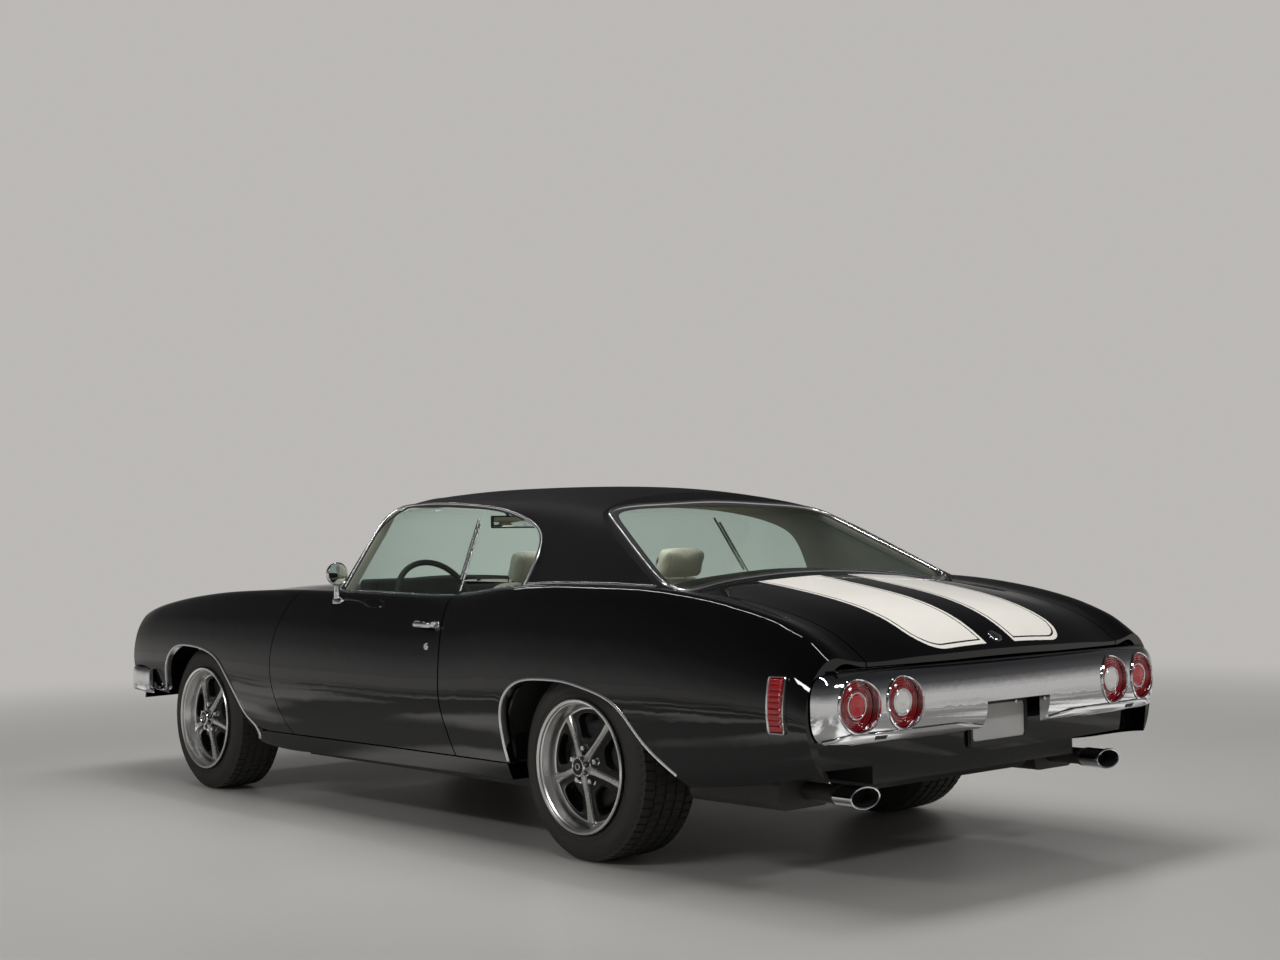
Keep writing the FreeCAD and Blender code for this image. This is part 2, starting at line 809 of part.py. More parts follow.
def hinge_pocket(low_z):
    """The room in the door for a fixed strap, through the door's whole swing."""
    eye = size.hinge_eye_radius + size.hinge_clearance
    reach_in = size.hinge_pocket_reach
    wedge = [(hinge_x - eye, hinge_y), (hinge_x - eye, hinge_y - reach_in),
             (hinge_x + reach_in, hinge_y - reach_in), (hinge_x + reach_in, hinge_y - eye),
             (hinge_x + eye, hinge_y + size.hinge_pin_radius)]
    pocket = plan_prism([[corner] for corner in wedge], low_z, low_z + size.door_hinge_height)
    return pocket.fuse(Part.makeCylinder(eye, size.door_hinge_height, vector(hinge_x, hinge_y, low_z)))


hinge_levels = (size.door_hinge_low, size.door_hinge_high)
for low_z in hinge_levels:
    bore = Part.makeCylinder(size.hinge_pin_radius + size.seat_gap, size.door_hinge_height * 2 + size.seat_gap * 2,
                             vector(hinge_x, hinge_y, low_z - size.door_hinge_height / 2 - size.seat_gap))
    door = door.cut(hinge_pocket(low_z).fuse(bore))
door = largest_solid(door)
add_node("door_left", door)
add_node("door_right", mirrored(door))

# quarter panels
tulip_rear_x = from_rear(size.deck_lid_front_from_rear) + size.moving_gap
tulip_front_x = from_rear(size.tulip_front_from_rear)
lid_hole_reach = size.deck_lid_half_width + size.panel_gap
tulip_reach = size.tulip_half_width
quarter_zone = side_prism([[(far_behind, 0), (far_behind, high)],
                           door_seam(size.door_rear_from_rear, door_rear_shares, -size.moving_gap)],
                          inner_reach, far_side)
quarter = panel(quarter_zone, size.quarter_wall, size.deck_skin, size.overrun)
tail_line = curve_across(tail_x, far_side, shares=one_side_shares)
quarter = quarter.common(plan_prism([tail_line, [(far_ahead, far_side), (far_ahead, 0)]], 0, high))
quarter = quarter.cut(box_between(tulip_front_x, far_ahead, 0, size.cabin_half_width, 0, high))
quarter = quarter.cut(box_between(tulip_rear_x, tulip_front_x + size.overrun, 0, tulip_reach, 0, high))
quarter = quarter.cut(box_between(far_behind, tulip_rear_x, 0, lid_hole_reach, 0, high))
quarter = quarter.cut(arch_prism(rear_axle_x, rear_arch_shares))
quarter = quarter.cut(box_between(rear_axle_x, front_axle_x, 0, far_side, 0, door_bottom))
quarter = largest_solid(quarter)
add_node("quarter_panels", Part.makeCompound([quarter, mirrored(quarter)]))

# rear deck panel between the backlight and the deck lid
tulip_zone = box_between(tulip_rear_x, tulip_front_x, size.seat_gap - tulip_reach, tulip_reach - size.seat_gap,
                         size.belt_height * upper_skin_share, high)
deck_panel = largest_solid(panel(tulip_zone, top_inset=size.deck_skin))
lid_lug = hinge_lug(lid_pin_x, size.lid_hinge_height, high, lug_from, lug_to).common(outer_body)
add_node("rear_deck_panel", largest_solid(deck_panel.fuse(both_sides([lid_lug]))))

# deck lid
lid_reach = size.deck_lid_half_width
lid_front = from_rear(size.deck_lid_front_from_rear)
lid_zone = plan_prism([curve_across(tail_x, lid_reach), [(lid_front, lid_reach), (lid_front, -lid_reach)]],
                      size.deck_lid_lowest, high)
deck_lid = largest_solid(panel(lid_zone, top_inset=size.lid_thickness))
lid_arm = bent_arm(lid_pin_x, size.lid_hinge_height, lid_arm_bends, arm_from, arm_to).common(outer_body)
add_node("deck_lid", largest_solid(deck_lid.fuse(both_sides([lid_arm]))))

# sills
sill_front_share = 1.6
sill_rear_share = 1.19
sill_front = front_axle_x - size.tyre_radius * sill_front_share
sill_rear = rear_axle_x + size.tyre_radius * sill_rear_share
sill_zone = box_between(sill_rear, sill_front, 0, far_side, 0, size.sill_top)
sill = largest_solid(panel(sill_zone, size.sill_thickness, -size.overrun, size.overrun))
add_node("sills", Part.makeCompound([sill, mirrored(sill)]))

# cowl with the feet of the windshield pillars
cowl_front = curve_across(hood_rear_x, foot_reach, -size.hood_cowl_gap)
cowl_side = size.cabin_half_width - size.pillar_wall
cowl_mid = foot_x + size.pillar_wall * 3
cowl_back = [(foot_x, foot_reach), (foot_x, cowl_side), (cowl_mid, cowl_side - size.pillar_wall)]
cowl_back = cowl_back + [(cowl_mid + size.pillar_wall * 2, 0)]
cowl_back = cowl_back + [(x, -y) for x, y in reversed(cowl_back[:-1])]
cowl_zone = plan_prism([cowl_front] + [[point] for point in cowl_back], size.belt_height * upper_skin_share, high)
cowl = panel(cowl_zone, top_inset=size.deck_skin)
feet = []
for side in (1, -1):
    inner, outer = sorted((side * (foot_reach - size.pillar_wall * 2), side * foot_reach))
    feet.append(outer_body.common(box_between(foot_x, hood_rear_x(foot_reach) - size.hood_cowl_gap, inner,
                                              outer, size.pillar_foot_lowest, high)))
hood_lug = hinge_lug(hood_pin_x, size.hood_hinge_height, high, lug_from, lug_to).common(outer_body)
cowl = cowl.fuse(feet + both_sides([hood_lug]))
for side in (1, -1):
    inner, outer = sorted((side * (fender_inner - size.seat_gap), side * far_side))
    cowl = cowl.cut(side_prism([door_seam(size.door_front_from_rear, door_front_shares, size.panel_gap),
                                [(far_ahead, 0), (far_ahead, high)]], inner, outer))
add_node("cowl_panel", largest_solid(cowl))

# greenhouse
opening_base = size.greenhouse_base_height
opening_rise = size.roof_height - opening_base
windshield_shares = ((1.0, 0.0), (0.775, 0.845), (0.73, 0.880), (0.4, 0.920), (0.0, 0.932))
backlight_shares = ((1.08, 0.0), (0.985, 0.275), (0.80, 0.672), (0.77, 0.720), (0.72, 0.742), (0.4, 0.772),
                    (0.0, 0.782))
top_run_points = {windshield_shares: 4, backlight_shares: 5}


def opening_curves(half_reach, shares, shrink=0):
    """The sides are straight and the top is one curve, seen from the front."""
    right = [(share * half_reach - shrink * (share > 0), opening_base + up * opening_rise - shrink * (up > 0))
             for share, up in shares]
    corner = len(right) - top_run_points[shares]
    top = right[corner:]
    top = top + [(-y, z) for y, z in reversed(top[:-1])]
    low_right = right[:corner]
    low_left = [(-y, z) for y, z in reversed(low_right)]
    return [[point] for point in low_right] + [top] + [[point] for point in low_left]


opening_depth_share = 1.8
inner_wall_share = 0.7
opening_reach_share = 0.24
windshield_zone = (from_rear(size.windshield_base_from_rear) - size.wheelbase * opening_reach_share, far_ahead)
backlight_zone = (far_behind, backlight_corner_x(size.roof_height) - size.overrun)

# side window opening, as shares of length and roof height
window_middle_share = 0.46
window_mid_height_share = 0.8
window_end_share = 0.2
window_front_shares = ((0.596, 0.62), (0.588, 0.685), (0.571, 0.915))
window_top_shares = ((0.571, 0.915), (0.567, 0.941), (0.556, 0.947), (0.524, 0.947), (0.462, 0.937), (0.400, 0.918),
                     (0.371, 0.897), (0.347, 0.869), (0.334, 0.835), (0.331, 0.800), (0.331, 0.765))
window_rear_share = (0.334, 0.62)


def window_curves(shrink=0):
    centre_x = along(window_middle_share)
    centre_z = size.roof_height * window_mid_height_share

    def place(share_pair):
        x = along(share_pair[0])
        z = share_pair[1] * size.roof_height
        if abs(x - centre_x) > size.wheelbase * window_end_share:
            x = x - math.copysign(shrink, x - centre_x)
        return (x, z - shrink if z > centre_z else z)

    return [[place(pair) for pair in window_front_shares[:1]], [place(pair) for pair in window_top_shares],
            [place(window_rear_share)]]


inner_walls = wall_solid(size.pillar_wall * inner_wall_share)
inner_greenhouse = roof_solid(size.pillar_wall, size.roof_skin).common(inner_walls)
roof = outer_greenhouse.cut(inner_greenhouse)
behind_walls = wall_solid(size.pillar_wall * opening_depth_share)
for half_reach, shares, zone in ((size.windshield_opening_half_width, windshield_shares, windshield_zone),
                                 (size.backlight_opening_half_width, backlight_shares, backlight_zone)):
    roof = roof.cut(front_prism(opening_curves(half_reach, shares), *zone).cut(behind_walls))
roof = roof.cut(side_prism(window_curves(), -far_side, far_side))
add_node("roof", largest_solid(roof.cut(outer_body)))

glass_outer = roof_solid(size.glass_inset, size.glass_inset).common(wall_solid(size.glass_inset))
glass_depth = size.glass_inset + size.glass_thickness
inner_wall = wall_solid(glass_depth)
fixed_panes = []
for half_reach, shares, zone in ((size.windshield_opening_half_width, windshield_shares, windshield_zone),
                                 (size.backlight_opening_half_width, backlight_shares, backlight_zone)):
    pane = glass_outer.common(front_prism(opening_curves(half_reach, shares, size.seat_gap), *zone))
    fixed_panes.append(largest_solid(pane.cut(inner_wall).cut(outer_body)))

divider_share = 0.6
divider_low_x = from_rear(size.door_rear_from_rear) + size.door_thickness * divider_share
divider_top_x = divider_low_x + size.door_thickness
half_space = box_between(far_behind, far_ahead, inner_reach, far_side, 0, high)
side_glass = glass_outer.common(half_space).cut(roof_solid(glass_depth, glass_depth)).cut(outer_body)
ahead_of_split = side_prism([[(divider_low_x, opening_base), (divider_top_x, size.roof_height)],
                             [(far_ahead, size.roof_height), (far_ahead, opening_base)]], 0, far_side)
behind_split = side_prism([[(divider_low_x - size.moving_gap, opening_base),
                            (divider_top_x - size.moving_gap, size.roof_height)],
                           [(far_behind, size.roof_height), (far_behind, opening_base)]], 0, far_side)
door_pane = side_glass.common(side_prism(window_curves(size.moving_gap), 0, far_side)).common(ahead_of_split)
door_pane = largest_solid(door_pane)
quarter_pane = side_glass.common(side_prism(window_curves(size.seat_gap), 0, far_side)).common(behind_split)
quarter_pane = largest_solid(quarter_pane)
add_node("door_glass_left", door_pane)
add_node("door_glass_right", mirrored(door_pane))
add_node("fixed_glass", Part.makeCompound(fixed_panes + [quarter_pane, mirrored(quarter_pane)]))

# frame: two box rails that step in at the front and rear, and cross members


def rail(x_from, x_to, spacing, rise):
    return bar(x_from, x_to, spacing + " - rail_width / 2", spacing + " + rail_width / 2",
               "rail_underside + " + rise, "rail_underside + rail_height + " + rise)


def cross_member(x_from, x_to, reach, z_from, z_to):
    return bar(x_from, x_to, "-(" + reach + ")", reach, z_from, z_to)


rail_top = "rail_underside + rail_height"
left_rail = [
    rail("firewall + rail_width * 5", "half_length - rail_height * 2", "rail_front_spacing", "rail_front_rise"),
    rail("firewall", "firewall + rail_width * 6", "rail_front_spacing", "0"),
    rail("seat_riser", "firewall + rail_width", "rail_mid_spacing", "0"),
    rail("seat_riser - rail_width", "seat_riser + rail_width", "rail_rear_spacing", "0"),
    bar("seat_riser - rail_width * 2", "seat_riser - rail_width", "rail_rear_spacing - rail_width / 2",
        "rail_rear_spacing + rail_width / 2", "rail_underside", "rail_underside + rail_height + rail_axle_rise"),
    rail("trunk_step + seat_gap", "seat_riser - rail_width", "rail_rear_spacing", "rail_axle_rise"),
    rail("rail_height - half_length + rail_width", "trunk_step + rail_width", "rail_rear_spacing", "rail_tail_rise"),
    bar("firewall", "firewall + rail_width", "rail_front_spacing", "rail_mid_spacing", "rail_underside", rail_top),
    bar("seat_riser - rail_width", "seat_riser + rail_width", "rail_rear_spacing", "rail_mid_spacing",
        "rail_underside", rail_top),
]
right_rail = [mirror_of(member) for member in left_rail]
cross_members = [
    cross_member("half_length - rail_height * 3", "half_length - rail_height * 2", "rail_front_spacing",
                 "rail_underside + rail_front_rise", rail_top + " + rail_front_rise"),
    cross_member("front_axle - rail_width", "front_axle + rail_width", "rail_front_spacing", "rail_underside",
                 "rail_underside + rail_height"),
    cross_member("firewall", "firewall + rail_width", "rail_mid_spacing", "rail_underside",
                 "rail_underside + rail_width / 2"),
    cross_member("seat_riser - rail_width / 2", "seat_riser + rail_width / 2", "rail_mid_spacing", "rail_underside",
                 "rail_underside + rail_width / 2"),
    cross_member("rail_height - half_length + rail_width", "rail_height - half_length + rail_width * 2",
                 "rail_rear_spacing", "rail_underside + rail_tail_rise", rail_top + " + rail_tail_rise"),
]
node(fused(left_rail + right_rail + cross_members), "frame")

# floor, tunnel, firewall, rear floor, trunk floor and its panels, across the car
tunnel_side = "tunnel_half_width - floor_thickness"
tunnel_top = "floor_height + tunnel_height"
firewall_top = "belt_height - 2 * overrun"
middle_floor = [
    bar("seat_riser", "firewall", "-tunnel_half_width", "tunnel_half_width", tunnel_top + " - floor_thickness",
        tunnel_top),
    bar("firewall - floor_thickness", "firewall", "-tunnel_half_width", "tunnel_half_width",
        tunnel_top + " - floor_thickness", firewall_top),
    bar("seat_riser - floor_thickness", "seat_riser", "-wheelhouse_side", "wheelhouse_side",
        tunnel_top + " - floor_thickness", "rear_floor_height"),
    bar("trunk_step", "seat_riser", "-wheelhouse_side", "wheelhouse_side", "rear_floor_height - floor_thickness",
        "rear_floor_height"),
    bar("trunk_step - floor_thickness", "trunk_step", "-wheelhouse_side", "wheelhouse_side", "trunk_floor_height",
        "rear_floor_height"),
    bar("tail_from_rear + rail_height - half_length", "trunk_step", "-floor_half_width", "floor_half_width",
        "trunk_floor_height - floor_thickness", "trunk_floor_height"),
]
# footwell, tunnel side, half firewall and seat riser, then the rear and the front wheelhouse
left_floor = [
    bar("seat_riser", "firewall", tunnel_side, "floor_half_width", "floor_height", "floor_height + floor_thickness"),
    bar("seat_riser", "firewall", tunnel_side, "tunnel_half_width", "floor_height", tunnel_top),
    bar("firewall - floor_thickness", "firewall", tunnel_side, "cabin_half_width", "floor_height", firewall_top),
    bar("seat_riser - floor_thickness", "seat_riser", tunnel_side, "floor_half_width", "floor_height",
        "rear_floor_height"),
    bar("rear_axle - wheelhouse_half_length", "rear_axle + wheelhouse_half_length",
        "wheelhouse_side - floor_thickness", "wheelhouse_side", "trunk_floor_height - floor_thickness",
        "wheelhouse_height"),
    bar("rear_axle - wheelhouse_half_length", "rear_axle + wheelhouse_half_length",
        "wheelhouse_side - floor_thickness", "floor_half_width + overrun", "wheelhouse_height - floor_thickness",
        "wheelhouse_height"),
    bar("firewall - floor_thickness", "front_axle + inner_fender_ahead", "inner_fender_spacing",
        "inner_fender_spacing + floor_thickness", "inner_fender_low", "inner_fender_top"),
    bar("front_axle - wheelhouse_half_length", "front_axle + wheelhouse_half_length", "inner_fender_spacing",
        "inner_fender_reach", "inner_fender_top - floor_thickness", "inner_fender_top"),
]
# door hinges: a strap out to the pin and a foot back to the firewall, at two heights
door_hinge_x = "door_front_from_rear - half_length - door_hinge_back"
for level in ("door_hinge_low", "door_hinge_high"):
    strap_low = level + " + (door_hinge_height - hinge_plate) / 2"
    left_floor.append(bar(door_hinge_x + " - hinge_pin_radius", door_hinge_x + " + hinge_pin_radius",
                          "cabin_half_width - overrun", "door_hinge_half_width", strap_low,
                          strap_low + " + hinge_plate"))
    left_floor.append(bar(door_hinge_x + " - hinge_pin_radius", "firewall", "cabin_half_width - overrun",
                          "cabin_half_width", strap_low, strap_low + " + hinge_plate"))
    left_floor.append(rod("hinge_eye_radius", "hinge_plate", door_hinge_x, "door_hinge_half_width", strap_low))
    left_floor.append(rod("hinge_pin_radius", "door_hinge_height * 2", door_hinge_x, "door_hinge_half_width",
                          level + " - door_hinge_height / 2"))
right_floor = [mirror_of(piece) for piece in left_floor]
node(fused(middle_floor + left_floor + right_floor), "floor_pan")

# engine as one plain block, then gearbox and driveshaft
engine_low = rail_top + " + seat_gap"
node(bar("engine_rear", "engine_rear + engine_length", "-engine_width / 2", "engine_width / 2", engine_low,
         engine_low + " + engine_height"), "engine_block")
shaft_start = "gearbox_rear"
gearbox = long_rod("gearbox_radius", "gearbox_length - seat_gap", shaft_start, "0", "gearbox_centre_height")
shaft = long_rod("driveshaft_radius", shaft_start + " - rear_axle - differential_radius",
                 "rear_axle + differential_radius", "0", "gearbox_centre_height")
gearbox_foot = bar(shaft_start, shaft_start + " + rail_width", "-gearbox_radius", "gearbox_radius",
                   "rail_underside + rail_width / 2 + seat_gap", "gearbox_centre_height")
gearbox_bearer = bar(shaft_start, shaft_start + " + rail_width", "rail_width / 2 - rail_mid_spacing + seat_gap",
                     "rail_mid_spacing - rail_width / 2 - seat_gap", "rail_underside",
                     "rail_underside + rail_width / 2 + seat_gap")
node(fused([gearbox, shaft, gearbox_foot, gearbox_bearer]), "driveline")

# rear axle with its brake drums and springs
drum_face = "rear_hub_offset - hub_depth / 2 - panel_gap"
axle_members = [
    cross_rod("axle_tube_radius", "2 * (" + drum_face + ") - drum_width", "rear_axle",
              "-(" + drum_face + ") + drum_width / 2", "tyre_radius"),
    long_rod("differential_radius / 2", "differential_radius - seat_gap", "rear_axle", "0", "tyre_radius"),
]
ball = doc.addObject("Part::Sphere", "differential")
bind(ball, {"Radius": "differential_radius"})
placed(ball, "rear_axle", "0", "tyre_radius")
axle_members.append(ball)
for y_from in (drum_face + " - drum_width", "-(" + drum_face + ")"):
    axle_members.append(cross_rod("drum_radius", "drum_width", "rear_axle", y_from, "tyre_radius"))
axle_members.append(cross_rod("spindle_radius", "2 * (rear_hub_offset - seat_gap)", "rear_axle",
                              "seat_gap - rear_hub_offset", "tyre_radius"))
for sign in ("", "-"):
    spring = rod("spring_radius",
                 "rail_underside + rail_axle_rise - tyre_radius - seat_gap", "rear_axle", sign + "rail_rear_spacing",
                 "tyre_radius")
    axle_members.append(spring)
node(fused(axle_members), "rear_axle")

# front suspension arms and the knuckles that carry the front wheels
rail_face = size.rail_front_spacing + size.rail_width / 2 + size.seat_gap


def arm(z_low):
    tip = size.kingpin_offset + size.arm_tip_width / 2
    root_reach = size.arm_root_width / 2
    tip_reach = size.arm_tip_width / 2
    outline = [[(front_axle_x - root_reach, rail_face)], [(front_axle_x + root_reach, rail_face)],
               [(front_axle_x + tip_reach, tip)], [(front_axle_x - tip_reach, tip)]]
    return plan_prism(outline, z_low, z_low + size.arm_thickness)


upright_low = size.tyre_radius - size.upright_height / 2
upright_high = upright_low + size.upright_height
lower_arm = arm(upright_low - size.seat_gap - size.arm_thickness)
upper_arm = arm(upright_high + size.seat_gap)
bridge = box_between(front_axle_x - size.arm_tip_width / 2, front_axle_x + size.arm_tip_width / 2, rail_face,
                     rail_face + size.arm_thickness, upright_low - size.seat_gap, upright_high + size.seat_gap)
arm_set = lower_arm.fuse([upper_arm, bridge])
add_node("suspension_arms", Part.makeCompound([arm_set, mirrored(arm_set)]))

upright = bar("front_axle - upright_length / 2", "front_axle + upright_length / 2",
              "kingpin_offset - upright_width / 2", "kingpin_offset + upright_width / 2",
              "tyre_radius - upright_height / 2", "tyre_radius + upright_height / 2")
spindle = cross_rod("spindle_radius", "front_hub_offset - seat_gap - kingpin_offset", "front_axle", "kingpin_offset",
                    "tyre_radius")
steering_arm = bar("front_axle - rail_height - upright_length / 2", "front_axle",
                   "kingpin_offset - upright_width / 2", "kingpin_offset", "tyre_radius - upright_height / 2",
                   "tyre_radius - upright_height / 4")
left_knuckle = fused([upright, spindle, steering_arm])
node(mirror_of(left_knuckle), "knuckle_right")
node(left_knuckle, "knuckle_left")

# wheels and tyres


turn_decimals = 6


def tyre(name, axle, offset, width):
    ring = cross_rod("tyre_radius", width, axle, "(" + offset + ") - " + width + " / 2", "tyre_radius")
    doc.recompute()
    soft = doc.addObject("Part::Fillet", "tyre_shoulder")
    soft.Base = ring
    edges = [index + 1 for index, edge in enumerate(ring.Shape.Edges) if edge.Closed]
    soft.Edges = [(index, size.tyre_round, size.tyre_round) for index in edges]
    bore = cross_rod("rim_bead_radius + bore_clearance", width + " + overrun", axle,
                     "(" + offset + ") - " + width + " / 2 - overrun / 2", "tyre_radius")
    node(cut(soft, bore), name)


def wheel(name, axle, offset, width, hub_middle, sign):
    low_face = "(" + offset + ") - " + width + " / 2 - seat_gap"
    high_face = "(" + offset + ") + " + width + " / 2 + seat_gap"
    barrel = cross_rod("rim_bead_radius", width + " + 2 * (seat_gap + rim_lip_width)", axle,
                       low_face + " - rim_lip_width", "tyre_radius")
    lips = [cross_rod("rim_radius", "rim_lip_width", axle, lip_start, "tyre_radius")
            for lip_start in (low_face + " - rim_lip_width", high_face)]
    opening = cross_rod("rim_bead_radius - rim_wall", width + " + 2 * overrun", axle, low_face + " - overrun",
                        "tyre_radius")
    members = [cut(fused([barrel] + lips), opening)]
    members.append(cross_rod("hub_radius", "hub_depth", axle, hub_middle + " - hub_depth / 2", "tyre_radius"))
    cap_start = hub_middle + " + hub_depth / 2" if sign == "" else hub_middle + " - hub_depth / 2 - cap_depth"
    members.append(cross_rod("cap_radius", "cap_depth", axle, cap_start, "tyre_radius"))
    spoke_start = hub_middle + (" + hub_depth / 2 - spoke_depth" if sign == "" else " - hub_depth / 2")
    for index in range(int(size.spoke_count)):
        turn = FreeCAD.Rotation(vector(0, 1, 0), 360 / size.spoke_count * index)
        corner = turn.multVec(vector(-size.spoke_width / 2, 0, 0))
        spoke = doc.addObject("Part::Box", "spoke")
        bind(spoke, {"Length": "spoke_width", "Width": "spoke_depth", "Height": "rim_bead_radius - rim_wall / 2"})
        spoke.Placement = FreeCAD.Placement(vector(0, 0, 0), turn)
        across, upward = (round(value / size.spoke_width, turn_decimals) for value in (corner.x, corner.z))
        placed(spoke, "%s + (%s) * spoke_width" % (axle, across), spoke_start,
               "tyre_radius + (%s) * spoke_width" % upward)
        members.append(spoke)
    bore_start = hub_middle + " - hub_depth - overrun" if sign == "" else hub_middle
    bore = cross_rod("spindle_radius + bore_clearance", "hub_depth + overrun", axle, bore_start, "tyre_radius")
    node(cut(fused(members), bore), name)


for label, axle, offset, width, hub in (
        ("front", "front_axle", "front_wheel_offset", "front_tyre_width", "front_hub_offset"),
        ("rear", "rear_axle", "rear_wheel_offset", "rear_tyre_width", "rear_hub_offset")):
    for side_label, sign in (("left", ""), ("right", "-")):
        tyre("tyre_%s_%s" % (label, side_label), axle, sign + offset, width)
        wheel("wheel_%s_%s" % (label, side_label), axle, sign + offset, width, sign + hub, sign)

# radiator, fuel tank and exhaust
node(bar("half_length - radiator_from_front", "half_length - radiator_from_front + radiator_depth",
         "-radiator_width / 2", "radiator_width / 2", rail_top + " + rail_front_rise + seat_gap",
         rail_top + " + rail_front_rise + seat_gap + radiator_height"), "radiator")
tank_top = "trunk_floor_height - floor_thickness - seat_gap"
node(rounded(bar("tank_from_rear - half_length", "tank_from_rear - half_length + tank_length", "-tank_width / 2",
                 "tank_width / 2", tank_top + " - tank_height", tank_top), size.tank_round), "fuel_tank")


def pipe_through(points, radius):
    """A round pipe along straight runs, with a ball at each bend."""
    pieces = []
    for start, end in zip(points, points[1:]):
        pieces.append(Part.makeCylinder(radius, (end - start).Length, start, end - start))
    for bend in points[1:-1]:
        pieces.append(Part.makeSphere(radius, bend))
    return pieces[0].fuse(pieces[1:])


muffler_x = from_rear(size.muffler_from_rear)
muffler_front_x = muffler_x + size.muffler_length
muffler_low = size.tip_height - size.muffler_height / 2
muffler = box_between(muffler_x, muffler_front_x, size.muffler_spacing - size.muffler_width / 2,
                      size.muffler_spacing + size.muffler_width / 2, muffler_low, muffler_low + size.muffler_height)
long_edges = [edge for edge in muffler.Edges if abs(edge.tangentAt(edge.FirstParameter).x) > abs(
    edge.tangentAt(edge.FirstParameter).y) + abs(edge.tangentAt(edge.FirstParameter).z)]
muffler = muffler.makeFillet(size.tank_round, long_edges)
pipe_run = [vector(size.engine_rear + size.overrun, size.pipe_front_spacing, size.pipe_height),
            vector(size.gearbox_rear, size.pipe_front_spacing, size.pipe_height),
            vector(size.seat_riser, size.pipe_rear_spacing, size.pipe_height),
            vector(rear_axle_x + size.overrun * 2, size.pipe_rear_spacing, size.pipe_low_height),
            vector(rear_axle_x - size.overrun * 2, size.pipe_rear_spacing, size.pipe_low_height),
            vector(muffler_front_x - size.overrun, size.muffler_spacing, size.tip_height - size.pipe_radius / 2)]
tip_x = from_rear(size.tip_from_rear)
tail_run = [vector(muffler_x + size.overrun, size.tip_spacing, size.tip_height),
            vector(tip_x + size.overrun, size.tip_spacing, size.tip_height)]


def oval_tube(x_from, x_to, y, z, half_width_mm, half_height_mm):
    ring = Part.Ellipse(vector(x_from, y, z), half_width_mm, half_height_mm)
    ring.Axis = vector(1, 0, 0)
    ring.AngleXU = 0
    edge = ring.toShape()
    face = Part.Face(Part.Wire([edge]))
    if face.BoundBox.YLength < face.BoundBox.ZLength:
        face = face.rotate(vector(x_from, y, z), vector(1, 0, 0), 90)
    return face.extrude(vector(x_to - x_from, 0, 0))


tip_shell = oval_tube(tip_x, tip_x + size.overrun * 1.5, size.tip_spacing, size.tip_height, size.tip_half_width,
                      size.tip_half_height)
tip_bore = oval_tube(tip_x - size.overrun, tip_x + size.overrun, size.tip_spacing, size.tip_height,
                     size.tip_half_width - size.tip_wall, size.tip_half_height - size.tip_wall)
hanger = box_between(muffler_x + size.overrun, muffler_x + size.overrun * 1.5, size.muffler_spacing,
                     size.muffler_spacing + size.floor_thickness, size.tip_height,
                     size.trunk_floor_height - size.floor_thickness - size.seat_gap)
tail_pipe = pipe_through(tail_run, size.pipe_radius)
exhaust = pipe_through(pipe_run, size.pipe_radius).fuse([muffler, hanger, tail_pipe, tip_shell])
exhaust = largest_solid(exhaust.cut(tip_bore))
add_node("exhaust", Part.makeCompound([exhaust, mirrored(exhaust)]))

# bumpers: rounded sections set square to a plan curve and lofted into one bar

# share of the depth outwards, share of the height
bumper_section_shares = ((0.0, 0.0), (0.45, 0.01), (0.80, 0.09), (0.97, 0.27), (1.0, 0.5), (0.97, 0.73), (0.80, 0.91),
                         (0.45, 0.99), (0.0, 1.0))


def bumper_bar(plan_points, depths, lows, highs):
    """plan_points run from the centre to the left end of the outer face."""
    wires = []
    left = [vector(x, y, 0) for x, y in plan_points]
    stations = []
    for index, point in enumerate(left):
        before = left[index - 1] if index else vector(point.x, -left[1].y, 0)
        after = left[index + 1] if index + 1 < len(left) else point + (point - before)
        along_bar = (after - before).normalize()
        outward = vector(along_bar.y, -along_bar.x, 0)
        if outward.dot(vector(left[0].x, left[-1].y, 0)) < 0:
            outward = outward * -1
        if index == 0:
            outward = vector(math.copysign(1, left[0].x), 0, 0)
        stations.append((point, outward, depths[index], lows[index], highs[index]))
    right = [(vector(p.x, -p.y, 0), vector(n.x, -n.y, 0), d, lo, hi) for p, n, d, lo, hi in reversed(stations[1:])]
    for point, outward, depth, low_z, high_z in right + stations:
        outline = []
        for out, up in bumper_section_shares:
            spot = point + outward * (depth * (out - 1))
            outline.append(vector(spot.x, spot.y, low_z + up * (high_z - low_z)))
        wires.append(arch_wire(outline))
    return Part.makeLoft(wires, True, False)


# share of the half width, then how far in front of or behind the outermost point, in shares of the half width
front_bumper_shares = ((0.0, 0.0), (0.22, 0.004), (0.42, 0.016), (0.62, 0.044), (0.78, 0.078), (0.886, 0.130),
                       (0.945, 0.200), (0.972, 0.300), (0.983, 0.478))
rear_bumper_shares = ((0.0, 0.0), (0.22, 0.0015), (0.42, 0.006), (0.62, 0.012), (0.78, 0.024), (0.86, 0.038),
                      (0.915, 0.062), (0.944, 0.092), (0.949, 0.130))
bumper_depth_shares = (1.0, 1.0, 1.0, 0.95, 0.85, 0.7, 0.5, 0.36, 0.30)
bumper_low_shares = (0.0, 0.0, 0.0, 0.0, 0.02, 0.05, 0.10, 0.14, 0.20)
bumper_high_shares = (1.0, 1.0, 1.0, 1.0, 0.99, 0.97, 0.94, 0.90, 0.84)


def bumper_levels(low_z, high_z, shares):
    return [low_z + share * (high_z - low_z) for share in shares]


def cross_band(x_at, setback, thickness, reach, z_from, z_to, sign):
    """A curved wall across the car, set back from the nose or tail line."""
    near = curve_across(x_at, reach, sign * setback)
    far = curve_across(x_at, reach, sign * (setback + thickness))
    return plan_prism([near, list(reversed(far))], z_from, z_to)


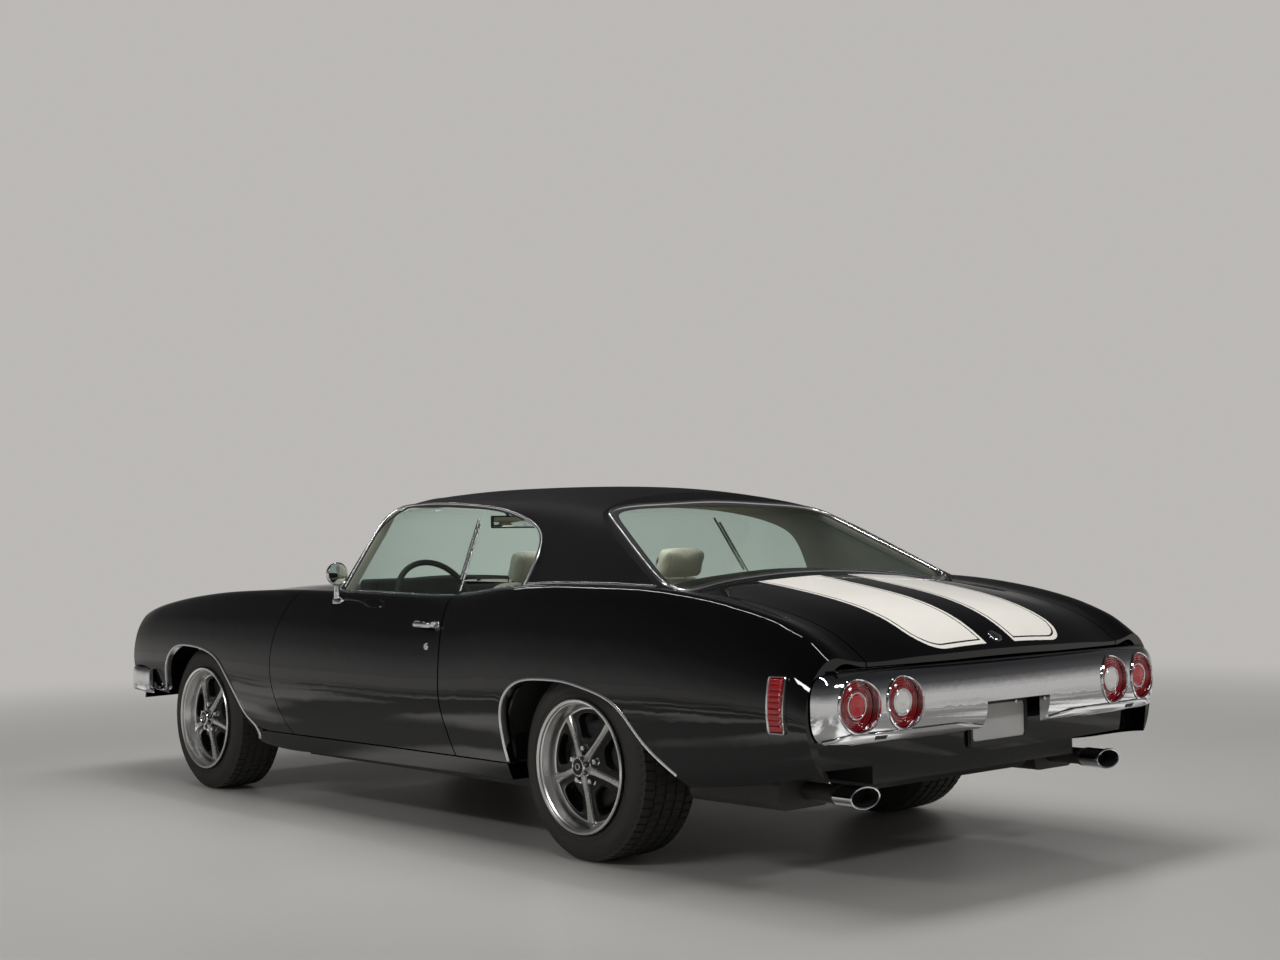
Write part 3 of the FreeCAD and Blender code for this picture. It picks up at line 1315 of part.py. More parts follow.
clear_body = lower_body(-size.body_clearance, -size.body_clearance, size.body_clearance)
behind_nose = plan_prism([curve_across(nose_x, far_side, size.seat_gap), [(0, far_side), (0, -far_side)]], 0, high)
front_points = [(half_length - back * half_width, across * half_width) for across, back in front_bumper_shares]
front_bumper = bumper_bar(front_points, [share * size.bumper_depth for share in bumper_depth_shares],
                          bumper_levels(size.front_bumper_bottom, size.front_bumper_top, bumper_low_shares),
                          bumper_levels(size.front_bumper_bottom, size.front_bumper_top, bumper_high_shares))
front_bumper = largest_solid(front_bumper.cut(clear_body.common(behind_nose)))
for side in (1, -1):
    near, far = sorted((side * size.bracket_offset, side * (size.bracket_offset + size.bracket_width)))
    low_z = size.front_bumper_bottom + size.bracket_height / 2
    bracket_depth = size.moving_gap * 2 + size.front_panel_setback - size.seat_gap
    bracket = cross_band(nose_x, -size.moving_gap * 2, bracket_depth, half_width, low_z, low_z + size.bracket_height,
                         -1)
    front_bumper = front_bumper.fuse(bracket.common(box_between(0, far_ahead, near, far, 0, high)))
front_bumper = largest_solid(front_bumper)
add_node("front_bumper", front_bumper)

rear_points = [(back * half_width - half_length, across * half_width) for across, back in rear_bumper_shares]
rear_depth = [size.bumper_depth * 2] * len(rear_points)
rear_bumper = bumper_bar(rear_points, rear_depth,
                         bumper_levels(size.rear_bumper_bottom, size.rear_bumper_top, [0.0] * len(rear_points)),
                         bumper_levels(size.rear_bumper_bottom, size.rear_bumper_top, [1.0] * len(rear_points)))
ahead_of_tail = plan_prism([curve_across(tail_x, far_side, -size.panel_gap), [(0, far_side), (0, -far_side)]], 0,
                           high)
rear_bumper = rear_bumper.cut(ahead_of_tail)
rear_bumper = rear_bumper.cut(box_between(far_behind, 0, -size.plate_notch_half_width, size.plate_notch_half_width,
                                          0, size.plate_notch_top))
lamp_offsets = (size.tail_lamp_inner_offset, size.tail_lamp_outer_offset)
lamp_offsets = lamp_offsets + tuple(-offset for offset in lamp_offsets)


def lengthwise_cylinder(radius, x_from, x_to, y, z):
    return Part.makeCylinder(radius, x_to - x_from, vector(x_from, y, z), vector(1, 0, 0))


lamp_hole_radius = size.tail_lamp_radius + size.lamp_clearance
for offset in lamp_offsets:
    rear_bumper = rear_bumper.cut(lengthwise_cylinder(lamp_hole_radius, far_behind, from_rear(size.bumper_depth * 3),
                                                      offset, size.tail_lamp_height))
for side in (1, -1):
    near, far = sorted((side * size.bracket_offset, side * (size.bracket_offset + size.bracket_width)))
    low_z = size.rear_bumper_bottom + size.bracket_height
    bracket_depth = size.moving_gap + size.tail_panel_setback - size.seat_gap
    bracket = cross_band(tail_x, -size.moving_gap, bracket_depth, half_width, low_z, low_z + size.bracket_height, 1)
    rear_bumper = rear_bumper.fuse(bracket.common(box_between(far_behind, 0, near, far, 0, high)))
add_node("rear_bumper", largest_solid(rear_bumper))

# tail lamps: short drums with a domed lens
ahead_of_panel = plan_prism([curve_across(tail_x, far_side, size.tail_panel_setback - size.seat_gap),
                             [(0, far_side), (0, -far_side)]], 0, high)
lamps = []
for offset in lamp_offsets:
    share = abs(offset) / half_width
    depths_behind = [back for across, back in rear_bumper_shares if across <= share]
    face_x = from_rear(depths_behind[-1] * half_width + size.tail_lamp_recess)
    base_x = tail_x(offset) + size.tail_panel_setback + size.overrun
    drum = lengthwise_cylinder(size.tail_lamp_radius, face_x, base_x, offset, size.tail_lamp_height)
    drum = drum.cut(ahead_of_panel)
    dome_radius = (size.tail_lamp_radius ** 2 + size.lens_bulge ** 2) / (2 * size.lens_bulge)
    dome_x = face_x + dome_radius - size.lens_bulge / 2
    dome = Part.makeSphere(dome_radius, vector(dome_x, offset, size.tail_lamp_height))
    lamps.append(drum.common(dome))
add_node("tail_lamps", Part.makeCompound(lamps))


# panels that close the front and the tail
inner_front = lower_body(size.fender_wall + size.seat_gap, size.lid_thickness + size.moving_gap, high)
under_fenders = lower_body(size.fender_wall + size.seat_gap, size.fender_wall + size.seat_gap, high)
for side in (1, -1):
    near, far = sorted((side * fender_inner, side * far_side))
    inner_front = inner_front.fuse(under_fenders.common(box_between(0, far_ahead, near, far, 0, high)))
inner_tail = lower_body(size.quarter_wall + size.seat_gap, size.lid_thickness + size.moving_gap, high)
front_panel = cross_band(nose_x, size.front_panel_setback, size.panel_thickness, half_width, size.front_panel_low,
                         size.grille_bottom - size.seat_gap, -1).common(inner_front)
tail_panel = cross_band(tail_x, size.tail_panel_setback, size.panel_thickness, half_width, size.tail_panel_low,
                        size.tail_panel_high, 1).common(inner_tail)
rail_near = size.rail_front_spacing - size.rail_width / 2
rail_far = size.rail_front_spacing + size.rail_width / 2
rail_end_x = half_length - size.rail_height * 2
rail_low = size.rail_underside + size.rail_front_rise
horns = []
for side in (1, -1):
    near, far = sorted((side * rail_near, side * rail_far))
    horn = cross_band(nose_x, size.front_panel_setback, size.overrun * 3, half_width, rail_low,
                      rail_low + size.rail_height, -1)
    horns.append(horn.common(box_between(rail_end_x + size.seat_gap, far_ahead, near, far, 0, high)))
ledge = cross_band(tail_x, size.tail_panel_setback, size.overrun, size.rail_mid_spacing,
                   size.trunk_floor_height + size.seat_gap, size.trunk_floor_height + size.panel_thickness, 1)
front_panel = largest_solid(front_panel.fuse(horns))
tail_panel = largest_solid(tail_panel.fuse(ledge))
add_node("end_panels", Part.makeCompound([front_panel, tail_panel]))

# number plate on the tail panel
plate_x = tail_x(0) + size.tail_panel_setback - size.seat_gap - size.seat_gap
plate = box_between(plate_x - size.plate_thickness, plate_x, -size.plate_width / 2, size.plate_width / 2,
                    size.plate_low, size.plate_low + size.plate_height)
for side in (1, -1):
    plate = plate.cut(lengthwise_cylinder(size.plate_hole_radius, plate_x - size.overrun, plate_x + size.overrun,
                                          side * size.plate_hole_spacing / 2,
                                          size.plate_low + size.plate_height - size.plate_hole_drop))
add_node("number_plate", plate)

# grille
grille = cross_band(nose_x, size.grille_setback, size.grille_depth, size.grille_half_width, size.grille_bottom,
                    size.grille_top, -1)
bar_count = int(size.grille_bar_count)
clear_height = size.grille_top - size.grille_bottom - 2 * size.grille_frame
slot_height = (clear_height - (bar_count - 1) * size.grille_bar) / bar_count
for side in (1, -1):
    for index in range(bar_count):
        slot_low = size.grille_bottom + size.grille_frame + index * (slot_height + size.grille_bar)
        near, far = sorted((side * size.grille_frame, side * (size.grille_half_width - size.grille_frame)))
        grille = grille.cut(box_between(0, far_ahead, near, far, slot_low, slot_low + slot_height))
add_node("grille", largest_solid(grille))

# headlamps: a square housing each, with a round recess and a domed lens
housings = []
housing_inner = size.grille_half_width + size.seat_gap
housing_outer = housing_inner + size.lamp_housing_width
housing_band = cross_band(nose_x, size.grille_setback, size.grille_depth, half_width, size.grille_bottom,
                          size.grille_top, -1)
housing = housing_band.common(box_between(0, far_ahead, housing_inner, housing_outer, 0, high)).common(inner_front)
lamp_height = (size.grille_bottom + size.grille_top) / 2
recess_x = nose_x(size.headlamp_offset) - size.grille_setback - size.headlamp_depth
lens_radius = (size.headlamp_radius ** 2 + size.lens_bulge ** 2) / (2 * size.lens_bulge)
lens_x = recess_x + size.lens_bulge - lens_radius
lens = Part.makeSphere(lens_radius, vector(lens_x, size.headlamp_offset, lamp_height))
recess = lengthwise_cylinder(size.headlamp_radius, recess_x, far_ahead, size.headlamp_offset, lamp_height)
housing = largest_solid(housing.cut(recess.cut(lens)))
add_node("headlamps", Part.makeCompound([housing, mirrored(housing)]))

# front corner lamps and rear side markers
corner_band = cross_band(nose_x, size.grille_setback / 2, size.grille_depth, half_width, size.corner_lamp_low,
                         size.grille_top, -1)
corner_zone = box_between(0, far_ahead, housing_outer + size.seat_gap, far_side, 0, high)
corner_lamp = largest_solid(corner_band.common(corner_zone).common(inner_front))
marker_x = from_rear(size.marker_from_rear)
marker_zone = box_between(marker_x, marker_x + size.marker_length, inner_reach, far_side, size.marker_low,
                          size.marker_low + size.marker_height)
side_marker = lower_body(-size.marker_proud, -size.marker_proud).common(marker_zone)
side_marker = largest_solid(side_marker.cut(lower_body(-size.seat_gap, -size.seat_gap, size.seat_gap)))
add_node("marker_lamps", Part.makeCompound([corner_lamp, mirrored(corner_lamp), side_marker, mirrored(side_marker)]))

# dashboard with the steering column and wheel
dash = rounded(bar("firewall - floor_thickness - seat_gap - dash_depth", "firewall - floor_thickness - seat_gap",
                   "-dash_half_width", "dash_half_width", "dash_low", "dash_low + dash_height"), size.dash_round)
doc.recompute()
wheel_centre = vector(from_rear(size.steering_wheel_from_rear), size.seat_spacing, size.steering_wheel_height)
column_way = vector(math.cos(math.radians(size.steering_tilt)), 0, -math.sin(math.radians(size.steering_tilt)))
steering_pieces = [Part.makeTorus(size.steering_wheel_radius, size.steering_rim_radius, wheel_centre, column_way),
                   Part.makeCylinder(size.column_radius, size.column_length, wheel_centre, column_way),
                   Part.makeCylinder(size.steering_boss_radius, size.steering_rim_radius * 2,
                                     wheel_centre - column_way * size.steering_rim_radius, column_way)]
spoke_corner = vector(-size.steering_rim_radius / 2, -size.steering_wheel_radius, -size.steering_spoke_width / 2)
spoke_box = Part.makeBox(size.steering_rim_radius, size.steering_wheel_radius * 2, size.steering_spoke_width,
                         spoke_corner)
spoke_box.Placement = FreeCAD.Placement(wheel_centre, FreeCAD.Rotation(vector(1, 0, 0), column_way))
steering_pieces.append(spoke_box)
arm_notch = box_between(hood_pin_x - size.hinge_eye_radius * 2, far_ahead, arm_from - size.moving_gap,
                        lug_to + size.moving_gap, size.hood_hinge_height - size.overrun, high)
dash_shape = dash.Shape.fuse(steering_pieces).cut(both_sides([arm_notch]))
add_node("dashboard", largest_solid(dash_shape))

# front seats
floor_top = "floor_height + floor_thickness + seat_gap"
seat_rear = "seat_from_rear - half_length"
base = bar(seat_rear + " + seat_round", seat_rear + " + seat_round + seat_base_length",
           "seat_spacing - seat_base_width / 2", "seat_spacing + seat_base_width / 2", floor_top,
           floor_top + " + seat_base_height + seat_round")
cushion = rounded(bar(seat_rear, seat_rear + " + cushion_length", "seat_spacing - seat_width / 2",
                      "seat_spacing + seat_width / 2", floor_top + " + seat_base_height",
                      floor_top + " + seat_base_height + cushion_height"), size.seat_round)


def leaning(length_rule, width_rule, height_rule, x, y, z):
    box = doc.addObject("Part::Box", "leaning")
    bind(box, {"Length": length_rule, "Width": width_rule, "Height": height_rule})
    return placed(box, x, y, z, (0, 1, 0), -size.backrest_lean)


backrest = rounded(leaning("backrest_depth", "seat_width", "backrest_height", seat_rear,
                           "seat_spacing - seat_width / 2", floor_top + " + seat_base_height + seat_round"),
                   size.seat_round)
lean = math.radians(size.backrest_lean)
lean_back = round(math.sin(lean), turn_decimals)
lean_up = round(math.cos(lean), turn_decimals)
headrest = rounded(leaning("headrest_depth", "headrest_width", "headrest_height * 2",
                           seat_rear + " - (backrest_height - headrest_height) * %s + seat_round / 2" % lean_back,
                           "seat_spacing - headrest_width / 2",
                           floor_top + " + seat_base_height + seat_round + (backrest_height - headrest_height) * %s"
                           % lean_up), size.seat_round / 2)
pair(fused([base, cushion, backrest, headrest]), "front_seats")

# rear seat with the shelf behind it
bench = bar("seat_riser + seat_gap", "seat_riser + seat_gap + rear_cushion_length", "-rear_seat_half_width",
            "rear_seat_half_width", floor_top, floor_top + " + rear_cushion_height")
bench = rounded(bench, size.seat_round)
bench_back = bar("seat_riser + seat_gap - rear_backrest_depth / 2", "seat_riser + seat_gap + rear_backrest_depth / 2",
                 "-rear_seat_half_width", "rear_seat_half_width", "rear_floor_height + seat_gap",
                 "rear_floor_height + seat_gap + rear_backrest_height")
bench_join = bar("seat_riser + seat_gap", "seat_riser + seat_gap + rear_backrest_depth / 2", "-rear_seat_half_width",
                 "rear_seat_half_width", floor_top + " + rear_cushion_height / 2", "rear_floor_height + seat_gap * 2")
shelf = bar("tulip_front_from_rear - half_length + overrun", "seat_riser", "-shelf_half_width", "shelf_half_width",
            "shelf_height - floor_thickness * 2", "shelf_height")
shelf_leg = bar("seat_riser - rear_backrest_depth / 2", "seat_riser", "-rear_seat_half_width", "rear_seat_half_width",
                "rear_floor_height + seat_gap", "shelf_height")
tunnel_clearance = bar("seat_riser - overrun", "firewall", "-tunnel_half_width - seat_gap",
                       "tunnel_half_width + seat_gap", "floor_height",
                       "floor_height + tunnel_height + seat_gap")
node(cut(fused([bench, bench_back, bench_join, shelf, shelf_leg]), tunnel_clearance), "rear_seat")

# door mirrors
mirror_x = "mirror_from_rear - half_length"
head = rounded(bar(mirror_x + " - mirror_depth / 2", mirror_x + " + mirror_depth / 2",
                   "mirror_offset - mirror_width / 2", "mirror_offset + mirror_width / 2",
                   "mirror_centre_height - mirror_height / 2", "mirror_centre_height + mirror_height / 2"),
               size.mirror_round)
doc.recompute()
foot = vector(from_rear(size.mirror_foot_from_rear), size.mirror_foot_offset, size.mirror_foot_height)
stalk_top = vector(from_rear(size.mirror_from_rear), size.mirror_offset - size.mirror_width / 4,
                   size.mirror_centre_height - size.mirror_height / 4)
stalk = Part.makeCylinder(size.mirror_stalk_radius, (stalk_top - foot).Length, foot, stalk_top - foot)
mirror_left = largest_solid(head.Shape.fuse([stalk]).cut(lower_body(-size.seat_gap, -size.seat_gap)))
add_node("mirror_left", mirror_left)
add_node("mirror_right", mirrored(mirror_left))

doc.recompute()
problems = []
for feature in nodes:
    if feature.Shape.isNull() or not feature.Shape.isValid():
        problems.append(feature.Label)
for obj in doc.Objects:
    if "Invalid" in obj.State or "Error" in obj.State:
        problems.append(obj.Label)
if problems:
    raise RuntimeError("not valid: " + ", ".join(sorted(set(problems))))

os.makedirs("parts", exist_ok=True)
for feature in nodes:
    feature.Shape.exportStep("parts/" + feature.Label + ".step")
    print(feature.Label, len(feature.Shape.Solids), round(feature.Shape.Volume / 1e6, 2))
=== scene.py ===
import bmesh
import bpy
import math
from mathutils import Matrix, Vector
from mathutils.bvhtree import BVHTree


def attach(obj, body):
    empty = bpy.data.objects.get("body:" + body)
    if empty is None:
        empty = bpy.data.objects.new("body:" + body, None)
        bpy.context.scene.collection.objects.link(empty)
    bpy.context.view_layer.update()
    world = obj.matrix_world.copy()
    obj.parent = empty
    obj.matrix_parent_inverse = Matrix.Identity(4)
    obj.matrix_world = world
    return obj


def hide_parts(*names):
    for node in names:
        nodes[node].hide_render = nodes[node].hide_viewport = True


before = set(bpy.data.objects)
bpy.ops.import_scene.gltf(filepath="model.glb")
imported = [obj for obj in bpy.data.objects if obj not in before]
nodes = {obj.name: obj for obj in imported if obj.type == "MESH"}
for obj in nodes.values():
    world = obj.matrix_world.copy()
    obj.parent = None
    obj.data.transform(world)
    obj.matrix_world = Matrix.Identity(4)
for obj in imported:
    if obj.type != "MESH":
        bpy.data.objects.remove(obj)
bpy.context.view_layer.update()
scene = bpy.context.scene
print("frame loaded,", len(nodes), "nodes")

frontAxle, rearAxle, axleHeight = 1.571, -1.274, 0.335
sides = (("left", 1), ("right", -1))


def at(*place):
    return Vector(place)


def mm(*values):
    # pairs in metres from a row of millimetres
    return [(a / 1000, b / 1000) for a, b in zip(values[::2], values[1::2])]


def turns(count):
    return [2 * math.pi * i / count for i in range(count)]


def linked(name, data):
    made = bpy.data.objects.new(name, data)
    scene.collection.objects.link(made)
    return made


# shader maths

class Sock:
    # one output of a node, sums and products of it add Math nodes
    def __init__(self, graph, out):
        self.graph, self.out = graph, out

    def calc(self, operation, first, second):
        return self.graph.node("Math", {"operation": operation}, {0: first, 1: second})

    def __add__(self, other): return self.calc("ADD", self, other)
    def __radd__(self, other): return self.calc("ADD", other, self)
    def __sub__(self, other): return self.calc("SUBTRACT", self, other)
    def __rsub__(self, other): return self.calc("SUBTRACT", other, self)
    def __mul__(self, other): return self.calc("MULTIPLY", self, other)
    def __rmul__(self, other): return self.calc("MULTIPLY", other, self)
    def __truediv__(self, other): return self.calc("DIVIDE", self, other)
    def __pow__(self, other): return self.calc("POWER", self, other)
    def __gt__(self, other): return self.calc("GREATER_THAN", self, other)
    def __lt__(self, other): return self.calc("LESS_THAN", self, other)
    def __abs__(self): return self.graph.node("Math", {"operation": "ABSOLUTE"}, {0: self})

    def clip(self):
        return self.graph.node("Clamp", {}, {"Value": self, "Min": 0.0, "Max": 1.0})

    def ease(self, low, high):
        # 0 below low, 1 above high, smooth in between
        return self.graph.node("MapRange", {"interpolation_type": "SMOOTHSTEP"},
                               {"Value": self, "From Min": low, "From Max": high})

    def also(self, name):
        return Sock(self.graph, self.out.node.outputs[name])


class Graph:
    def __init__(self, tree):
        self.tree = tree

    def node(self, kind, settings=None, values=None):
        made = self.tree.nodes.new("ShaderNode" + kind)
        for key, value in (settings or {}).items():
            if key == "stops":
                ramp = made.color_ramp
                while len(ramp.elements) < len(value):
                    ramp.elements.new(1.0)
                for element, (place, shade) in zip(ramp.elements, value):
                    element.position = place
                    element.color = shade if hasattr(shade, "__len__") else (shade, shade, shade, 1)
            else:
                setattr(made, key, value)
        for key, value in (values or {}).items():
            self.feed(made.inputs[key], value)
        shown = [out for out in made.outputs if out.enabled]
        return Sock(self, shown[0]) if shown else made

    def feed(self, socket, value):
        if isinstance(value, Sock):
            self.tree.links.new(value.out, socket)
        elif hasattr(value, "__len__") and socket.type == "RGBA" and len(value) == 3:
            socket.default_value = (*value, 1)
        else:
            socket.default_value = value

    def place(self):
        return self.node("TexCoord").also("Object")

    def facing(self):
        return self.node("TexCoord").also("Normal")

    def split(self, vector):
        first = self.node("SeparateXYZ", {}, {0: vector})
        return first, first.also("Y"), first.also("Z")

    def mix(self, factor, first, second):
        return self.node("Mix", {"data_type": "RGBA"}, {0: factor, 6: first, 7: second})

    def noise(self, scale, detail=3.0, vector=None):
        return self.node("TexNoise", {}, {"Vector": vector or self.place(), "Scale": scale, "Detail": detail})

    def stretch(self, vector, amounts):
        return self.node("VectorMath", {"operation": "MULTIPLY"}, {0: vector, 1: amounts})

    def bump(self, height, strength=0.2, distance=0.001):
        return self.node("Bump", {}, {"Strength": strength, "Distance": distance, "Height": height})


def material(name, build=None, **sockets):
    # sockets: the shader's own constants, build(graph) gives what varies
    made = bpy.data.materials.new(name)
    made.use_nodes = True
    graph = Graph(made.node_tree)
    shader = made.node_tree.nodes["Principled BSDF"]
    names = {"colour": "Base Color", "rough": "Roughness", "metal": "Metallic", "coat": "Coat Weight",
             "normal": "Normal", "coatRough": "Coat Roughness", "coatIor": "Coat IOR",
             "specular": "Specular IOR Level"}
    for key, value in sockets.items():
        graph.feed(shader.inputs[names[key]], value)
    for key, value in (build(graph) if build else {}).items():
        graph.feed(shader.inputs[names[key]], value)
    return made


# finishes

def paintGrain(graph):
    # gloss enamel: a trace of orange peel, faint dust in broad patches
    peel = graph.noise(160.0, 2.0)
    dust = graph.noise(5.0, 4.0)
    return {"rough": 0.3 + 0.08 * dust, "normal": graph.bump(peel, 0.02, 0.0006),
            "colour": graph.mix(dust, (0.0018, 0.0018, 0.002), (0.0034, 0.0034, 0.0038))}


stripes = {"inner": 0.075, "outer": 0.39, "pinFrom": 0.014, "pinTo": 0.02, "corner": 0.11}


def stripedPaint(frontX, rearX):
    def build(graph):
        found = paintGrain(graph)
        x, y = graph.split(graph.place())[:2]
        across = abs(y)
        lengthwise = (x > rearX) * (x < frontX)
        band = (across > stripes["inner"]) * (across < stripes["outer"]) * lengthwise
        inset = (across - stripes["inner"]).calc("MINIMUM", across - stripes["inner"], stripes["outer"] - across)
        inset = inset.calc("MINIMUM", inset, x - rearX)
        inset = inset.calc("MINIMUM", inset, frontX - x)
        # the outer rear corner is round
        radius = stripes["corner"]
        behind = x.calc("MAXIMUM", (rearX + radius) - x, 0.0)
        beside = x.calc("MAXIMUM", across - (stripes["outer"] - radius), 0.0)
        corner = radius - (behind * behind + beside * beside) ** 0.5
        inset = inset.calc("MINIMUM", inset, corner)
        pin = (inset > stripes["pinFrom"]) * (inset < stripes["pinTo"])
        upward = graph.split(graph.facing())[2]
        mask = band * (1 - pin) * (inset > 0.0) * (upward > 0.0)
        cream = graph.mix(graph.noise(9.0), (0.78, 0.75, 0.69), (0.86, 0.83, 0.77))
        found["colour"] = graph.mix(mask, found["colour"], cream)
        return found
    return build


def vinylGrain(graph):
    pebble = graph.node("TexVoronoi", {"feature": "SMOOTH_F1"}, {"Vector": graph.place(), "Scale": 420.0})
    fine = graph.noise(900.0, 2.0)
    wide = graph.noise(3.0, 3.0)
    height = pebble + 0.35 * fine
    return {"colour": graph.mix(wide, (0.0022, 0.0022, 0.0025), (0.0052, 0.005, 0.005)),
            "rough": 0.42 + 0.14 * wide, "normal": graph.bump(height, 0.6, 0.0012)}


def clothGrain(graph):
    weave = graph.noise(700.0, 2.0)
    wide = graph.noise(4.0, 3.0)
    return {"colour": graph.mix(wide, (0.5, 0.47, 0.4), (0.62, 0.58, 0.5)), "rough": 0.8 + 0.1 * wide,
            "normal": graph.bump(weave, 0.3, 0.0008)}


grilleFrame = {"low": 0.59, "high": 0.747, "end": 0.532, "middle": 0.013}


def grilleGrain(graph):
    # bright frame round black bars, and a bright bar in the middle
    f = grilleFrame
    y, z = graph.split(graph.place())[1:]
    across = abs(y)
    frameMask = ((z < f["low"]) + (z > f["high"]) + (across > f["end"]) + (across < f["middle"])).clip()
    smear = graph.noise(8.0, 3.0)
    return {"colour": graph.mix(frameMask, (0.012, 0.012, 0.012), (0.78, 0.78, 0.8)), "metal": frameMask,
            "rough": 0.36 - 0.28 * frameMask + 0.05 * smear}


def markerGrain(graph):
    # red at the tail, amber at the nose, each rib darker in its groove: painted shade
    ahead = graph.split(graph.place())[0] > 0.0
    wave = graph.node("TexWave", {"wave_type": "BANDS", "bands_direction": "Z"},
                      {"Vector": graph.place(), "Scale": 46.0, "Distortion": 0.0})
    red = graph.mix(wave, (0.22, 0.002, 0.004), (0.42, 0.006, 0.01))
    amber = graph.mix(wave, (0.6, 0.2, 0.02), (0.85, 0.36, 0.05))
    return {"colour": graph.mix(ahead, red, amber), "normal": graph.bump(wave, 0.35, 0.0015),
            "rough": 0.08 + 0.04 * wave}


def chromeGrain(graph):
    smear = graph.noise(7.0, 4.0)
    fine = graph.noise(60.0, 3.0)
    return {"rough": 0.03 + 0.05 * smear, "colour": graph.mix(fine, (0.74, 0.75, 0.77), (0.82, 0.82, 0.83)),
            "normal": graph.bump(smear, 0.03, 0.002)}


def satinGrain(dark, light, scale=30.0, low=0.45, reach=0.2, strength=0.15):
    def build(graph):
        broad = graph.noise(scale, 4.0)
        fine = graph.noise(scale * 18, 2.0)
        return {"colour": graph.mix(broad, dark, light), "rough": low + reach * broad,
                "normal": graph.bump(fine, strength, 0.0008)}
    return build


def brushedGrain(dark, light, amounts, low=0.22):
    def build(graph):
        streak = graph.noise(60.0, 3.0, graph.stretch(graph.place(), amounts))
        return {"colour": graph.mix(streak, dark, light), "rough": low + 0.16 * streak,
                "normal": graph.bump(streak, 0.08, 0.0006)}
    return build


def rubberGrain(graph):
    fine = graph.noise(300.0, 3.0)
    wide = graph.noise(14.0, 3.0)
    return {"colour": graph.mix(wide, (0.018, 0.017, 0.016), (0.034, 0.032, 0.03)), "rough": 0.62 + 0.2 * wide,
            "normal": graph.bump(fine, 0.25, 0.0006)}


def lensGrain(dark, light, rings):
    def build(graph):
        # the rings' colour is darker where their bump is low: painted shade in the grooves
        wave = graph.node("TexWave", {"wave_type": "BANDS", "bands_direction": rings},
                          {"Vector": graph.place(), "Scale": 60.0, "Distortion": 0.0})
        return {"colour": graph.mix(wave, dark, light), "normal": graph.bump(wave, 0.35, 0.0015)}
    return build


def seatGrain(graph):
    pore = graph.node("TexVoronoi", {}, {"Vector": graph.place(), "Scale": 520.0})
    wide = graph.noise(6.0, 4.0)
    return {"colour": graph.mix(wide, (0.46, 0.42, 0.34), (0.6, 0.56, 0.47)), "rough": 0.42 + 0.14 * wide,
            "normal": graph.bump(pore, 0.22, 0.0008)}


def doorGrain(graph):
    # paint outside, dark trim on the inner face
    found = paintGrain(graph)
    outward = graph.split(graph.facing())[1]
    inner = (outward * graph.split(graph.place())[1]) < -0.35
    found["colour"] = graph.mix(inner, found["colour"], (0.03, 0.029, 0.028))
    found["rough"] = found["rough"] + 0.35 * inner
    return found


def glassMaterial(name, tint, reach=0.5):
    # tinted sheet: clear from straight ahead, mirror-like at a glance
    made = bpy.data.materials.new(name)
    made.use_nodes = True
    tree = made.node_tree
    graph = Graph(tree)
    tree.nodes.remove(tree.nodes["Principled BSDF"])
    haze = graph.noise(4.0, 3.0)
    clear = graph.node("BsdfTransparent", {}, {"Color": tint})
    gloss = graph.node("BsdfGlossy", {}, {"Color": (0.9, 0.95, 0.93), "Roughness": 0.02})
    glance = graph.node("LayerWeight", {}, {"Blend": 0.5}).also("Facing")
    both = graph.node("MixShader", {}, {0: (glance ** 4.0 * reach + 0.012 + 0.01 * haze).clip(), 1: clear,
                                        2: gloss})
    graph.feed(tree.nodes["Material Output"].inputs["Surface"], both)
    return made


enamel = {"coat": 1.0, "coatRough": 0.02, "coatIor": 1.52, "specular": 0.0}
bodyPaint = material("gloss_black", paintGrain, **enamel)
lidPaint = material("deck_stripes", stripedPaint(-1.4, -2.436), **enamel)
hoodPaint = material("hood_stripes", stripedPaint(2.5, 0.6), **enamel)
doorPaint = material("door_paint", doorGrain, **enamel)
roofVinyl = material("grained_vinyl", vinylGrain, specular=0.2)
headCloth = material("headliner_cloth", clothGrain)
grilleMix = material("grille_black", grilleGrain)
markerLens = material("marker_lens", markerGrain, coat=1.0, coatRough=0.02)
mirrorGlass = material("mirror_silver", satinGrain((0.8, 0.82, 0.83), (0.86, 0.87, 0.88), 5.0, 0.01, 0.03, 0.0),
                       metal=1.0)
chrome = material("bright_chrome", chromeGrain, metal=1.0)
trimChrome = material("bright_moulding", satinGrain((0.84, 0.85, 0.86), (0.93, 0.93, 0.94), 12.0, 0.17, 0.08, 0.02),
                      metal=1.0)
satinBlack = material("chassis_black", satinGrain((0.008, 0.008, 0.008), (0.022, 0.021, 0.02)))
carpetBlack = material("floor_black", satinGrain((0.008, 0.008, 0.008), (0.018, 0.017, 0.016), 40.0, 0.7, 0.2, 0.4))
darkPlastic = material("dark_trim", satinGrain((0.012, 0.012, 0.012), (0.026, 0.025, 0.024), 60.0, 0.5, 0.12, 0.2))
ironGrey = material("cast_iron", satinGrain((0.05, 0.048, 0.045), (0.11, 0.105, 0.1), 22.0, 0.55, 0.25, 0.4),
                    metal=0.6)
engineEnamel = material("engine_enamel", satinGrain((0.2, 0.035, 0.015), (0.3, 0.055, 0.025), 14.0, 0.3, 0.2, 0.1))
pipeSteel = material("pipe_steel", brushedGrain((0.05, 0.048, 0.045), (0.1, 0.097, 0.092), (1.0, 9.0, 9.0), 0.5),
                     metal=0.7)
alloy = material("alloy_silver", satinGrain((0.5, 0.49, 0.47), (0.66, 0.65, 0.63), 26.0, 0.22, 0.1, 0.05),
                 metal=0.9)
rubber = material("tyre_black", rubberGrain)
redLens = material("red_lens", lensGrain((0.2, 0.002, 0.004), (0.42, 0.006, 0.01), "Z"), rough=0.06, coat=1.0,
                   coatRough=0.02)
seatVinyl = material("parchment_vinyl", seatGrain, coat=0.15, coatRough=0.3)
